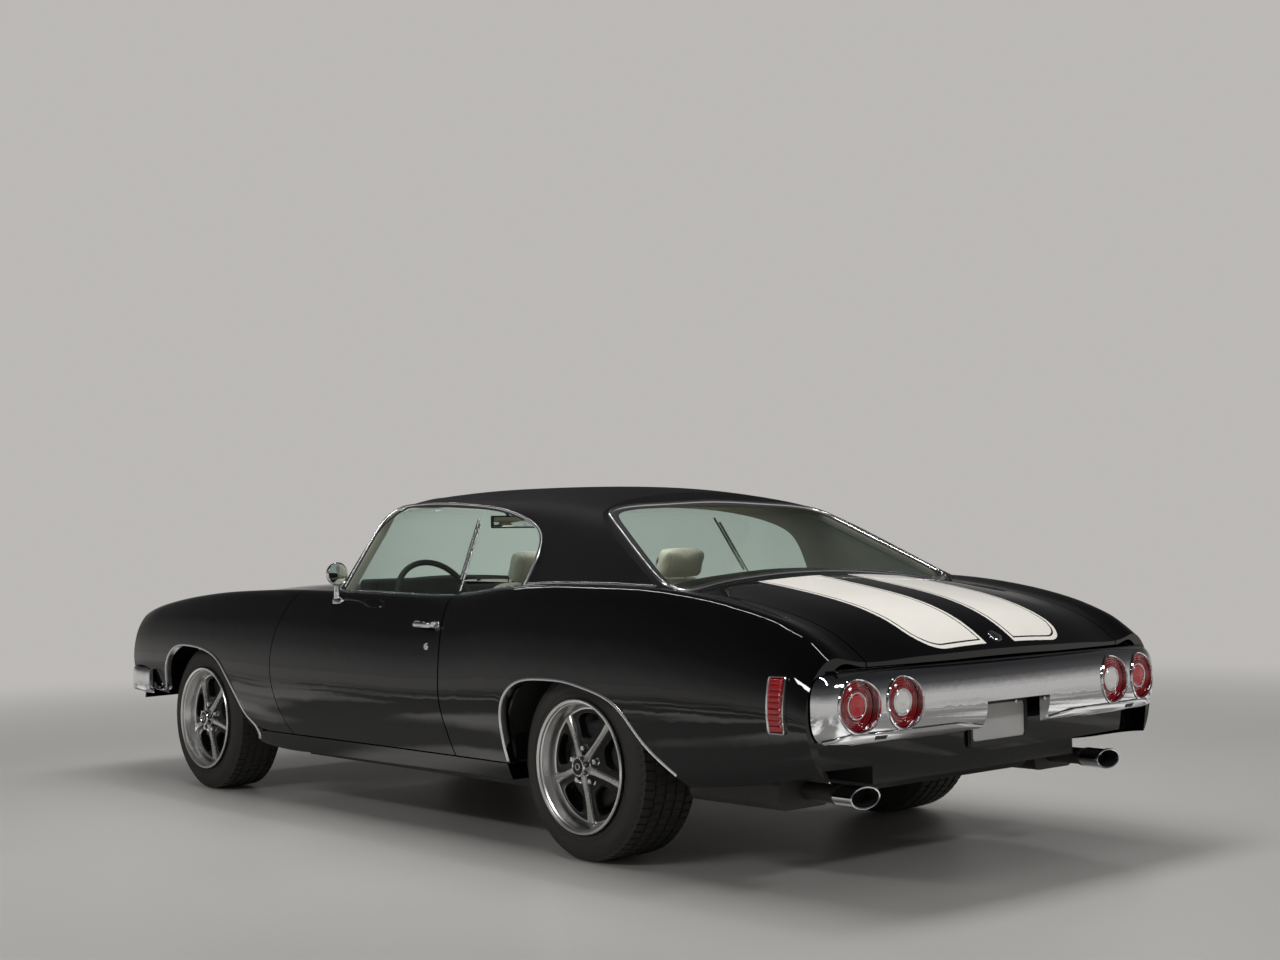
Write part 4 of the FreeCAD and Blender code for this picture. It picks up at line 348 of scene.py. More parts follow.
plateGrey = material("plate_silver", satinGrain((0.42, 0.42, 0.41), (0.5, 0.5, 0.49), 12.0, 0.3, 0.12, 0.04))
finAlloy = material("fin_alloy", satinGrain((0.1, 0.1, 0.1), (0.17, 0.17, 0.17), 40.0, 0.45, 0.2, 0.1), metal=0.7)
# near black: soot inside the pipe ends, and painted shade deep in the pipes and in the radiator's core
sootAndShade = material("soot_and_painted_shade", satinGrain((0.003, 0.003, 0.003), (0.01, 0.009, 0.008), 30.0, 0.7, 0.2, 0.3))
greenGlass = glassMaterial("green_tint", (0.925, 0.978, 0.958, 1), 0.6)

finishes = ((hoodPaint, "hood"), (lidPaint, "deck_lid"), (doorPaint, "door_left door_right"), (roofVinyl, "roof"),
            (bodyPaint, "front_fenders quarter_panels rear_deck_panel sills cowl_panel end_panels"),
            (greenGlass, "door_glass_left door_glass_right fixed_glass"), (carpetBlack, "floor_pan"),
            (satinBlack, "frame suspension_arms radiator fuel_tank headlamps"), (engineEnamel, "engine_block"),
            (ironGrey, "driveline rear_axle knuckle_left knuckle_right"), (pipeSteel, "exhaust"),
            (plateGrey, "number_plate"), (chrome, "front_bumper rear_bumper mirror_left mirror_right"),
            (redLens, "tail_lamps"), (markerLens, "marker_lamps"), (grilleMix, "grille"),
            (darkPlastic, "dashboard"), (seatVinyl, "front_seats rear_seat"), (rubber, "tyre"))
finishOf = {name: finish for finish, names in finishes for name in names.split()}
for nodeName, node in nodes.items():
    finish = finishOf.get("tyre" if nodeName.startswith("tyre") else nodeName, alloy)
    node.data.materials.clear()
    node.data.materials.append(finish)
print("finishes done")


# shape tools

class Shape:
    # gathers loops and sweeps in one mesh, each with a finish number
    def __init__(self):
        self.mesh = bmesh.new()

    def rows(self, rows, finish=0, closedAlong=False, closedAcross=False, capEnds=False):
        made = [[self.mesh.verts.new(p) for p in row] for row in rows]
        count, width = len(made), len(made[0])
        for i in range(count if closedAlong else count - 1):
            first, second = made[i], made[(i + 1) % count]
            for j in range(width if closedAcross else width - 1):
                k = (j + 1) % width
                self.mesh.faces.new((first[j], first[k], second[k], second[j])).material_index = finish
        if capEnds:
            self.mesh.faces.new(made[0]).material_index = finish
            self.mesh.faces.new(made[-1]).material_index = finish
        return made

    def turned(self, profile, centre, axis, count=48, finish=0, closed=False):
        # profile: (radius, distance along the axis) pairs
        axis = Vector(axis).normalized()
        aside = axis.cross(at(0, 0, 1) if abs(axis.z) < 0.9 else at(1, 0, 0)).normalized()
        upward = aside.cross(axis)
        rows = []
        for turn in turns(count):
            out = math.cos(turn) * aside + math.sin(turn) * upward
            rows.append([Vector(centre) + axis * reach + out * radius for radius, reach in profile])
        return self.rows(rows, finish, closedAlong=True, closedAcross=closed)

    def swept(self, path, ups, section, finish=0, closed=False, widths=None):
        # section: (aside, upward) pairs, ups: the surface direction at each point
        rows, count = [], len(path)
        for i, point in enumerate(path):
            before = path[i - 1] if closed or i else path[0]
            after = path[(i + 1) % count] if closed or i + 1 < count else path[-1]
            along = (after - before).normalized()
            aside = along.cross(ups[i]).normalized()
            upward = aside.cross(along).normalized()
            spread = widths[i] if widths else 1.0
            rows.append([point + aside * a * spread + upward * b for a, b in section])
        return self.rows(rows, finish, closedAlong=closed, closedAcross=True, capEnds=not closed)

    def tube(self, path, radius, sides=10, finish=0):
        ring = [(radius * math.cos(a), radius * math.sin(a)) for a in turns(sides)]
        ups, up = [], at(0, 0, 1)
        for i in range(len(path)):
            along = (path[min(i + 1, len(path) - 1)] - path[max(i - 1, 0)]).normalized()
            if abs(along.dot(up)) > 0.95:
                up = at(1, 0, 0) if abs(along.x) < 0.8 else at(0, 1, 0)
            up = (up - along * up.dot(along)).normalized()
            ups.append(up)
        return self.swept(path, ups, ring, finish)

    def block(self, low, high, soft=0.004, finish=0, steps=2):
        made = bmesh.ops.create_cube(self.mesh, size=1.0)["verts"]
        low, high = Vector(low), Vector(high)
        for vert in made:
            vert.co = Vector([(low[i] + high[i]) / 2 + vert.co[i] * (high[i] - low[i]) for i in range(3)])
        for vert in made:
            for face in vert.link_faces:
                face.material_index = finish
        if soft:
            # a dict keeps the order of the edges, which a set would not
            edges = list(dict.fromkeys(edge for vert in made for edge in vert.link_edges))
            bmesh.ops.bevel(self.mesh, geom=edges, offset=soft, segments=steps, affect="EDGES", profile=0.6,
                            material=finish)

    def piece(self, name, finishList, body, slotName, replaced=(), sharp=38):
        bmesh.ops.recalc_face_normals(self.mesh, faces=self.mesh.faces[:])
        mesh = bpy.data.meshes.new(name)
        self.mesh.to_mesh(mesh)
        self.mesh.free()
        for face in mesh.polygons:
            face.use_smooth = True
        mesh.set_sharp_from_angle(angle=math.radians(sharp))
        for finish in finishList:
            mesh.materials.append(finish)
        made = linked(name, mesh)
        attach(made, body)
        if replaced:
            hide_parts(*replaced)
        return made


def surfaceOf(*names):
    points, faces = [], []
    for name in names:
        mesh = nodes[name].data
        start = len(points)
        points += [v.co.copy() for v in mesh.vertices]
        faces += [[start + i for i in p.vertices] for p in mesh.polygons]
    return BVHTree.FromPolygons(points, faces)


skin = surfaceOf("front_fenders", "door_left", "door_right", "quarter_panels", "rear_deck_panel", "deck_lid",
                 "hood", "roof", "sills", "cowl_panel")
glassSkin = surfaceOf("fixed_glass", "door_glass_left", "door_glass_right")
# where a ray starts outside the car, and its way, for each side it is cast from
castStarts = {"side": lambda a, b, sign: ((a, 1.6 * sign, b), (0, -sign, 0)),
              "rear": lambda a, b, sign: ((-4.0, a, b), (1, 0, 0)),
              "top": lambda a, b, sign: ((a, b, 2.5), (0, 0, -1))}


def cast(tree, way, a, b, sign=1):
    start, toward = (Vector(v) for v in castStarts[way](a, b, sign))
    place, normal, _, reach = tree.ray_cast(start, toward)
    if place is None:
        return None
    if normal.dot(toward) > 0:
        normal = -normal
    return place, normal, reach


def spaced(points, step, closed=False):
    # the same line with points a step apart
    line = points + [points[0]] if closed else points
    lengths = [0.0]
    for first, second in zip(line, line[1:]):
        lengths.append(lengths[-1] + (second - first).length)
    count = max(4, round(lengths[-1] / step))
    made, k = [], 0
    for i in range(count if closed else count + 1):
        reach = lengths[-1] * i / count
        while k < len(lengths) - 2 and lengths[k + 1] < reach:
            k += 1
        share = (reach - lengths[k]) / max(lengths[k + 1] - lengths[k], 1e-9)
        made.append(line[k].lerp(line[k + 1], share))
    return made


def curveThrough(points, step=0.02):
    # a smooth line through a few points
    points = [Vector(p) for p in points]
    ends = [2 * points[0] - points[1]] + points + [2 * points[-1] - points[-2]]
    made = []
    for i in range(len(points) - 1):
        a, b, c, d = ends[i:i + 4]
        for j in range(12):
            t = j / 12
            bend, twist = 2 * a - 5 * b + 4 * c - d, 3 * b - a - 3 * c + d
            made.append(0.5 * (2 * b + (c - a) * t + bend * t * t + twist * t ** 3))
    return spaced(made + [points[-1]], step)


def smoothLine(values, rounds, closed=False):
    last = len(values) - 1
    for _ in range(rounds):
        values = [values[i] if not closed and i in (0, last)
                  else (values[i - 1] + 2 * values[i] + values[(i + 1) % (last + 1)]) / 4 for i in range(last + 1)]
    return values


def openingEdge(tree, way, centre, angles, reach=1.6, sign=1, glass=None, outward=0.0):
    # walks out from the middle of an opening until the panel begins
    found = []
    for angle in angles:
        c, s = math.cos(angle), math.sin(angle)

        def solid(r):
            hit = cast(tree, way, centre[0] + r * c, centre[1] + r * s, sign)
            if hit is None or (way == "side" and abs(hit[0].y) < 0.45):
                return False
            pane = cast(glass, way, centre[0] + r * c, centre[1] + r * s, sign) if glass else None
            return pane is None or hit[2] < pane[2] - 0.001
        r, step = 0.05, 0.01
        while r < reach and not solid(r):
            r += step
        if r >= reach:
            continue
        clear, filled = r - step, r
        for _ in range(8):
            middle = (clear + filled) / 2
            clear, filled = (clear, middle) if solid(middle) else (middle, filled)
        found.append((centre[0] + (filled + outward) * c, centre[1] + (filled + outward) * s))
    return found


print("tools ready")


# wheels and tyres

wheelSizes = {"rimRadius": 0.238, "dish": 0.06, "spokes": 5, "capRadius": 0.036, "lugRing": 0.063}
glossSpoke = material("spoke_black", satinGrain((0.0025, 0.0025, 0.0025), (0.006, 0.006, 0.006), 20.0, 0.3, 0.1,
                                                0.03), specular=0.35)


def rimGrain(graph):
    # turned metal: fine rings round the axle and soft vertical streaks
    streak = graph.noise(9.0, 3.0, graph.stretch(graph.place(), (1.0, 30.0, 1.0)))
    return {"colour": graph.mix(streak, (0.8, 0.79, 0.77), (0.92, 0.92, 0.91)), "rough": 0.24 + 0.12 * streak,
            "normal": graph.bump(streak, 0.05, 0.0006)}


rimMetal = material("polished_rim", rimGrain, metal=1.0)


def wheelPiece(name, axleX, side, outerFace, width):
    s = wheelSizes
    out = at(0, side, 0)
    face = at(axleX, side * outerFace, axleHeight)
    shape = Shape()
    back = -(width + 0.022)
    # trim ring, deep lip, barrel and inner flange, in one turned band
    band = [(0.214, back), (0.236, back), (0.238, back + 0.006), (0.229, back + 0.01), (0.222, back + 0.03),
            (0.205, -0.14), (0.205, -0.095), (0.226, -0.026), (0.2265, -0.014), (s["rimRadius"] - 0.002, -0.01),
            (s["rimRadius"], -0.004), (s["rimRadius"] - 0.003, 0.0), (0.23, -0.001), (0.2255, -0.004),
            (0.2245, -0.01), (0.2195, -0.014), (0.2175, -0.022), (0.2125, -0.03), (0.2085, -0.045),
            (0.2065, -s["dish"] + 0.006), (0.2035, -s["dish"]), (0.196, -s["dish"] - 0.003),
            (0.19, -s["dish"] - 0.012), (0.196, -0.11), (0.198, -0.145), (0.214, back + 0.032)]
    shape.turned(band, face, out, 120, 0, closed=True)
    # black centre with five windows: each fifth is a patch between its window and its border
    aside = out.cross(at(0, 0, 1)).normalized()
    half = math.pi / s["spokes"]
    inner, outer = 0.04, 0.199

    def centrePoint(turn, radius, lift=0.0):
        share = max((radius - inner) / (outer - inner), 0.0)
        depth = -0.034 - 0.028 * share ** 1.2 - 0.006 * math.sin(math.pi * min(share, 1)) + lift
        way = math.cos(turn) * at(0, 0, 1) + math.sin(turn) * aside
        return face + out * depth + way * radius
    steps = 14
    border = [(-1, -1 + 2 * i / steps) for i in range(steps)] + [(-1 + 2 * i / steps, 1) for i in range(steps)]
    border += [(1, 1 - 2 * i / steps) for i in range(steps)] + [(1 - 2 * i / steps, -1) for i in range(steps)]
    for fifth in range(s["spokes"]):
        middle = math.pi + half * (2 * fifth + 1)
        rows = []
        for u, v in border:
            around = math.atan2(v, u)
            power = 3.4
            length = (abs(math.cos(around)) ** power + abs(math.sin(around)) ** power) ** (-1 / power)
            wu, wv = length * math.cos(around), length * math.sin(around)
            row = []
            for share, lift in ((0.0, -0.03), (0.0, -0.004), (0.03, 0.0), (0.1, 0.0015), (0.17, 0.0),
                                (0.3, -0.0015), (0.6, -0.001), (1.0, 0.0)):
                windowV = 0.28 + 0.52 * wv
                reachU = 0.56 * (1 + 0.1 * wv)
                pu = (reachU * wu) * (1 - share) + u * share
                pv = windowV * (1 - share) + v * share
                row.append(centrePoint(middle + half * pu, inner + (outer - inner) * (pv + 1) / 2, lift))
            rows.append(row)
        shape.rows(rows, 1, closedAlong=True)
        # spoke ridge along the border between two windows, with a flared foot
        turn = math.pi + half * 2 * fifth
        radii = [0.03, 0.05, 0.075, 0.105, 0.135, 0.165, 0.185, 0.2]
        widths = [1.35, 1.05, 0.92, 0.88, 0.9, 1.02, 1.25, 1.6]
        path = [centrePoint(turn, r, 0.001) for r in radii]
        section = [(-0.014, -0.004), (-0.012, 0.005), (-0.0085, 0.0085), (-0.003, 0.0075), (0.003, 0.0075),
                   (0.0085, 0.0085), (0.012, 0.005), (0.014, -0.004)]
        shape.swept(path, [out] * len(path), section, 2, widths=widths)
        # lug nut in each pocket
        way = math.cos(middle) * at(0, 0, 1) + math.sin(middle) * aside
        seat = face + way * s["lugRing"] + out * -0.046
        shape.turned(mm(15.5, -2, 15.5, 3, 10.5, 6, 10.5, 20, 8.5, 23, 0, 24), seat, out, 6, 3)
    # hub flange and cap
    shape.turned(mm(66, -52, 60, -40, 46, -34, 40, -30), face, out, 48, 1)
    c = s["capRadius"]
    shape.turned([(c + 0.005, -0.036), (c + 0.005, -0.031), (c, -0.028), (c - 0.001, -0.006), (c - 0.004, -0.002),
                  (c - 0.007, -0.0015), (c - 0.009, -0.004)], face, out, 48, 3)
    shape.turned([(c - 0.009, -0.004), (0.012, -0.002), (0.0, -0.0015)], face, out, 48, 4)
    shape.turned(mm(13, -1.8, 12.5, -0.3, 9, -0.3, 8.5, -1.6), face, out, 32, 3)
    # brake drum seen through the windows
    shape.turned(mm(150, -150, 150, -92, 140, -86, 90, -84, 80, -80, 0, -80), face, out, 60, 5)
    for fin in range(3):
        shape.turned([(0.1505, -0.1 - fin * 0.015), (0.155, -0.102 - fin * 0.015), (0.155, -0.106 - fin * 0.015),
                      (0.1505, -0.108 - fin * 0.015)], face, out, 60, 5)
    # bar through the hub that ties centre, drum and axle
    shape.turned(mm(62, -130, 62, -60, 40, -36), face, out, 32, 5)
    return shape.piece(name + "_detail", [rimMetal, glossSpoke, alloy, chrome, glossSpoke, satinBlack], name,
                       "wheel_alloy", (name,), 30)


tyreSizes = {"radius": 0.3345, "crown": 0.006, "pitches": 64, "grooves": (-0.62, -0.21, 0.21, 0.62),
             "grooveHalf": 0.0052, "grooveDeep": 0.0075}


def tyrePiece(name, body, axleX, side, middle, width):
    s = tyreSizes
    half = width / 2
    # across the tyre from the inner bead to the outer one: place, radius, and which tread pattern runs there
    sidewall = [(-half + 0.016, 0.2275), (-half + 0.009, 0.236), (-half + 0.004, 0.246), (-half + 0.0015, 0.258),
                (-half + 0.0028, 0.2595), (-half + 0.0028, 0.262), (-half + 0.001, 0.2635), (-half, 0.276),
                (-half + 0.001, 0.29), (-half + 0.0035, 0.3005), (-half + 0.0018, 0.302), (-half + 0.003, 0.305),
                (-half + 0.01, 0.315), (-half + 0.018, 0.323)]
    edge = half - 0.022
    grooves, grooveHalf = s["grooves"], s["grooveHalf"]
    tread = [(-edge, "shoulder"), (-edge + 0.006, "shoulder")]
    for k, share in enumerate(grooves):
        groove = share * edge
        kind = "shoulder" if k == 0 else "rib"
        tread += [(groove - grooveHalf - 0.0012, kind), (groove - grooveHalf, "groove"),
                  (groove + grooveHalf, "groove"),
                  (groove + grooveHalf + 0.0012, "rib" if k < len(grooves) - 1 else "shoulder")]
        if k < len(grooves) - 1:
            following = grooves[k + 1] * edge
            tread += [((groove + following) / 2 - 0.008, "rib"), ((groove + following) / 2 + 0.008, "rib")]
    tread += [(edge - 0.006, "shoulder"), (edge, "shoulder")]
    pitches = s["pitches"]
    cuts = [(0.0, 0), (0.74, 0), (0.77, 1), (0.95, 1), (0.98, 0)]
    rows = []
    for pitch in range(pitches):
        for share, low in cuts:
            row = []
            for place, r in sidewall:
                turn = 2 * math.pi * (pitch + share) / pitches
                row.append((place, r - (0.003 * low if r > 0.316 else 0.0), turn))
            for place, kind in tread:
                slant = 0.55 * abs(place) / half * (1 if kind == "shoulder" else -1.0)
                turn = 2 * math.pi * (pitch + share + slant) / pitches
                crown = s["radius"] - s["crown"] * (abs(place) / half) ** 3
                sink = s["grooveDeep"] if kind == "groove" else (0.006 * low if kind == "shoulder" else 0.0035 * low)
                row.append((place, crown - sink, turn))
            for place, r in reversed(sidewall):
                turn = 2 * math.pi * (pitch + share) / pitches
                row.append((-place, r - (0.003 * low if r > 0.316 else 0.0), turn))
            rows.append([at(axleX + r * math.sin(turn), side * (middle + place), axleHeight + r * math.cos(turn))
                         for place, r, turn in row])
    shape = Shape()
    shape.rows(rows, 0, closedAlong=True, closedAcross=True)
    return shape.piece(name + "_treaded", [rubber], body, "tyre_rubber", (name,), 34)


for end, axleX, middle, width in (("front", frontAxle, 0.764, 0.24), ("rear", rearAxle, 0.752, 0.275)):
    for sideName, side in sides:
        wheelName = "wheel_%s_%s" % (end, sideName)
        wheelPiece(wheelName, axleX, side, middle + width / 2 + 0.011, width)
        tyrePiece("tyre_%s_%s" % (end, sideName), wheelName, axleX, side, middle, width)
print("wheels and tyres done")


# bright mouldings

halfRound = [(-0.5, -0.2), (-0.5, 0.25), (-0.34, 0.72), (-0.12, 0.96), (0.12, 0.96), (0.34, 0.72), (0.5, 0.25),
             (0.5, -0.2)]


def trail(tree, way, line, sign=1, sink=0.0):
    # where (a, b) pairs seen from one side meet the body, and the body's direction there
    hits = [hit for hit in (cast(tree, way, a, b, sign) for a, b in line) if hit]
    return [hit[0] - hit[1] * sink for hit in hits], [hit[1] for hit in hits]


def strip(shape, way, line, sign, width, height, finish=0, tree=skin, sink=0.0, rounds=2, closed=False):
    # lays a half-round strip on the body along (a, b) pairs
    path, ups = trail(tree, way, line, sign, sink)
    path, ups = smoothLine(path, rounds, closed), smoothLine(ups, rounds + 4, closed)
    shape.swept(path, ups, [(a * width, b * height) for a, b in halfRound], finish, closed)


def patch(shape, way, aEnds, bEnds, steps, lift, finish=0, tree=skin, sign=1, skirt=0.003):
    # a sheet on the body with its own relief lift(u, v), its border turned down to the body
    rows, last = [], None
    for i in range(-1, steps[0] + 2):
        row = []
        for j in range(-1, steps[1] + 2):
            u = min(max(i / steps[0], 0), 1)
            v = min(max(j / steps[1], 0), 1)
            border = i in (-1, steps[0] + 1) or j in (-1, steps[1] + 1)
            hit = cast(tree, way, aEnds[0] + (aEnds[1] - aEnds[0]) * u, bEnds[0] + (bEnds[1] - bEnds[0]) * v,
                       sign) or last
            last = hit
            row.append(hit[0] + hit[1] * (-skirt if border else lift(u, v)))
        rows.append(row)
    shape.rows(rows, finish)


def flatLine(points, step=0.02, closed=False):
    return [(p.x, p.y) for p in spaced([at(a, b, 0) for a, b in points], step, closed)]


def evened(pairs, rounds, step=0.02, closed=False):
    smooth = smoothLine([at(a, b, 0) for a, b in pairs], rounds, closed)
    return flatLine([(p.x, p.y) for p in smooth], step, closed)


archLip = {"width": 0.013, "proud": 0.0055, "flange": 0.024}


def archMoulding(name, axleX, start, stop, side):
    lip = archLip
    angles = [math.radians(start + (stop - start) * i / 90) for i in range(91)]
    edge = openingEdge(skin, "side", (axleX, axleHeight + 0.02), angles, 0.8, side, outward=0.0015)
    line = smoothLine([at(a, b, 0) for a, b in edge], 3)
    path, ups = [], []
    for p in spaced(line, 0.018):
        away = (p - at(axleX, axleHeight, 0)).normalized() * 0.009
        hit = cast(skin, "side", p.x + away.x, p.y + away.y, side)
        if hit:
            path.append(at(p.x, hit[0].y, p.y))
            ups.append(at(0, side, 0))
    path = smoothLine(path, 2)
    section = [(0.0, -lip["flange"]), (-0.0012, -lip["flange"]), (-0.0015, 0.0), (-0.0005, 0.0035),
               (0.002, lip["proud"]), (lip["width"] * 0.5, lip["proud"]), (lip["width"] * 0.85, 0.003),
               (lip["width"], -0.002), (0.001, -0.002)]
    shape = Shape()
    # the section's first direction has to point away from the wheel
    along = (path[1] - path[0]).normalized()
    if along.cross(ups[0]).dot(path[0] - at(axleX, path[0].y, axleHeight)) < 0:
        section = [(-a, b) for a, b in section]
    shape.swept(path, ups, section)
    shape.piece(name, [trimChrome], "body", "bright_chrome")


for sideName, side in sides:
    archMoulding("arch_trim_rear_" + sideName, rearAxle, -4, 181, side)
    archMoulding("arch_trim_front_" + sideName, frontAxle, -8, 197, side)


def roofTrim(sideName, side):
    # drip rail over the windows and the black channel under it, from the front pillar's foot round to the belt
    angles = [math.radians(-30 + 245 * i / 260) for i in range(261)]
    roofOnly, beltHeight = surfaceOf("roof"), 0.955
    rails = (("drip_rail_", 0.011, 0.016, 0.013, 0.009, trimChrome, "bright_chrome"),
             ("window_seal_", 0.002, 0.02, 0.008, 0.005, darkPlastic, "dark_plastic"))
    for name, outward, step, width, height, finish, slotName in rails:
        edge = openingEdge(roofOnly, "side", (-0.1, 1.02), angles, 1.6, side, outward=outward)
        line = evened([(a, b) for a, b in edge if b > beltHeight], 6, step)
        shape = Shape()
        strip(shape, "side", line, side, width, height, 0, roofOnly, 0.001, 5)
        shape.piece(name + sideName, [finish], "body", slotName)
    # bars between door glass and rear side glass, one on each pane's edge
    bars = ((((-0.4385, 0.924), (-0.3745, 1.226)), "body", "quarter_glass_bar_"),
            (((-0.4185, 0.93), (-0.356, 1.226)), "door_" + sideName, "door_glass_bar_"))
    for ends, body, name in bars:
        shape = Shape()
        path, ups = trail(glassSkin, "side", flatLine(ends, 0.02), side)
        path, ups = smoothLine(path, 3), smoothLine(ups, 6)
        shape.swept(path, ups, [(a * 0.009, b * 0.007) for a, b in halfRound])
        shape.piece(name + sideName, [trimChrome], body, "bright_chrome")


def beltTrim(sideName, side):
    # bright strip along the panel's upper edge, just outside the glass
    belts = (("door_" + sideName, surfaceOf("door_" + sideName), -0.425, 0.455, "belt_trim_door_"),
             ("body", surfaceOf("quarter_panels"), -0.79, -0.44, "belt_trim_quarter_"))
    for body, tree, startX, stopX, name in belts:
        line = []
        for i in range(41):
            x = startX + (stopX - startX) * i / 40
            pane = cast(glassSkin, "side", x, 0.975 if x > -0.75 else 0.99, side)
            reach = abs(pane[0].y) if pane else 0.8
            line.append((x, side * (reach + 0.013)))
        shape = Shape()
        strip(shape, "top", line, side, 0.015, 0.007, 0, tree, 0.001, 4)
        shape.piece(name + sideName, [trimChrome], body, "bright_chrome")


for sideName, side in sides:
    roofTrim(sideName, side)
    beltTrim(sideName, side)


def screenTrim(name, way, centre, width, height, spread):
    # bright surround of the front or rear glass, with a dark rubber inside it
    solid = surfaceOf("roof", "rear_deck_panel", "cowl_panel", "quarter_panels", "front_fenders", "hood")
    angles = turns(240)
    pane = surfaceOf("fixed_glass")
    parts = (("surround", spread, width, height, trimChrome, "bright_chrome"),
             ("rubber", spread * 0.3, width * 1.5, height * 0.25, darkPlastic, "dark_plastic"))
    for label, outward, wide, tall, finish, slotName in parts:
        edge = openingEdge(solid, way, centre, angles, 1.2, 1, pane, outward)
        line = evened(edge, 3, 0.02, True)
        shape = Shape()
        strip(shape, way, line, 1, wide, tall, 0, solid, 0.001, 3, True)
        shape.piece(name + "_" + label, [finish], "body", slotName)


def vinylLine(sideName, side):
    # the bright line where the vinyl ends on the quarter panel
    vinyl, metal = surfaceOf("roof"), surfaceOf("quarter_panels")
    found = []
    for i in range(41):
        x = -0.805 - 0.8 * i / 40
        z = 0.9
        while z < 1.08:
            top, low = cast(vinyl, "side", x, z, side), cast(metal, "side", x, z, side)
            if top and (not low or top[2] < low[2]) and abs(top[0].y) > 0.5:
                break
            z += 0.002
        if z < 1.08:
            found.append((x, z))
    shape = Shape()
    strip(shape, "side", evened(found, 6), side, 0.014, 0.007, 0, skin, 0.001, 3)
    shape.piece("vinyl_line_" + sideName, [trimChrome], "body", "bright_chrome")


for sideName, side in sides:
    vinylLine(sideName, side)

screenTrim("backlight", "top", (-1.33, 0.0), 0.017, 0.01, 0.03)
screenTrim("windshield", "top", (0.6, 0.0), 0.016, 0.009, 0.014)
print("mouldings done")


# lamps and tail

tailLamp = {"hole": 0.082, "inner": 0.56, "outer": 0.752, "height": 0.602}
bumperSkin = surfaceOf("rear_bumper")
lampSkin = surfaceOf("tail_lamps")


def bowlGrain(dark, light):
    def build(graph):
        # small prisms of the moulded lens, and random lighter specks in the colour: painted glints of the prisms
        glintSpeck = graph.noise(90.0, 2.0)
        prism = graph.node("TexVoronoi", {}, {"Vector": graph.place(), "Scale": 240.0})
        return {"colour": graph.mix(glintSpeck, dark, light), "rough": 0.05 + 0.05 * glintSpeck,
                "normal": graph.bump(prism, 0.12, 0.001)}
    return build


deepRed = material("lens_deep_red", bowlGrain((0.16, 0.001, 0.003), (0.3, 0.003, 0.006)), coat=1.0, coatRough=0.02)
brightRed = material("lens_red", bowlGrain((0.34, 0.004, 0.008), (0.55, 0.01, 0.014)), coat=1.0, coatRough=0.02)
whiteLens = material("lens_white", bowlGrain((0.62, 0.6, 0.58), (0.85, 0.84, 0.82)), coat=1.0, coatRough=0.02)


def tailLampPiece(y, withWhite):
    z = tailLamp["height"]
    seat = cast(lampSkin, "rear", y, z)[0].x
    back = at(-1, 0, 0)
    centre = at(seat, y, z)
    shape = Shape()
    # red bowl with moulded rings, a bright ring and the middle lens
    shape.turned(mm(79, -14, 78, -8, 74, -6, 70, -7.5, 66, -5.8, 62, -7.5, 58, -5.5, 54, -7, 50, -5, 44, -5),
                 centre, back, 72, 0)
    shape.turned(mm(44, -5, 43, -1.5, 40.5, -0.8, 38, -1.5, 37, -4), centre, back, 72, 1)
    shape.turned(mm(37, -4, 33, -1.5, 28, -2.2, 24, -0.8, 18, -1.4, 12, -0.2, 0, 0), centre, back, 72,
                 3 if withWhite else 2)
    # bezel along the rim of the bumper's hole
    path, inside = [], []
    for turn in turns(72):
        c, s = math.cos(turn), math.sin(turn)
        hit = cast(bumperSkin, "rear", y + c * (tailLamp["hole"] + 0.004), z + s * (tailLamp["hole"] + 0.004))
        depth = hit[0].x if hit else path[-1].x
        path.append(at(depth, y + c * tailLamp["hole"], z + s * tailLamp["hole"]))
        inside.append(at(seat + 0.012, y + c * 0.0795, z + s * 0.0795))
    path = smoothLine(path, 3, True)
    rows = []
    for edge, deep in zip(path, inside):
        away = at(0, edge.y - y, edge.z - z).normalized()
        rows.append([edge + away * 0.006 + back * 0.0005, edge + away * 0.005 + back * 0.004,
                     edge + away * 0.001 + back * 0.0065, edge - away * 0.0025 + back * 0.005,
                     edge - away * 0.0038 + back * 0.001, deep])
    shape.rows(rows, 1, closedAlong=True)
    return shape


def tailLamps():
    for sideName, side in sides:
        for place, withWhite in (("inner", True), ("outer", False)):
            shape = tailLampPiece(side * tailLamp[place], withWhite)
            shape.piece("tail_lamp_%s_%s" % (place, sideName), [deepRed, chrome, brightRed, whiteLens], "body",
                        "red_lens", ("tail_lamps",))


tailLamps()
print("tail lamps done")


# small parts of the sides
handleSpots = {"rear": -0.434, "front": -0.262, "height": 0.816, "lockX": -0.377, "lockZ": 0.731}


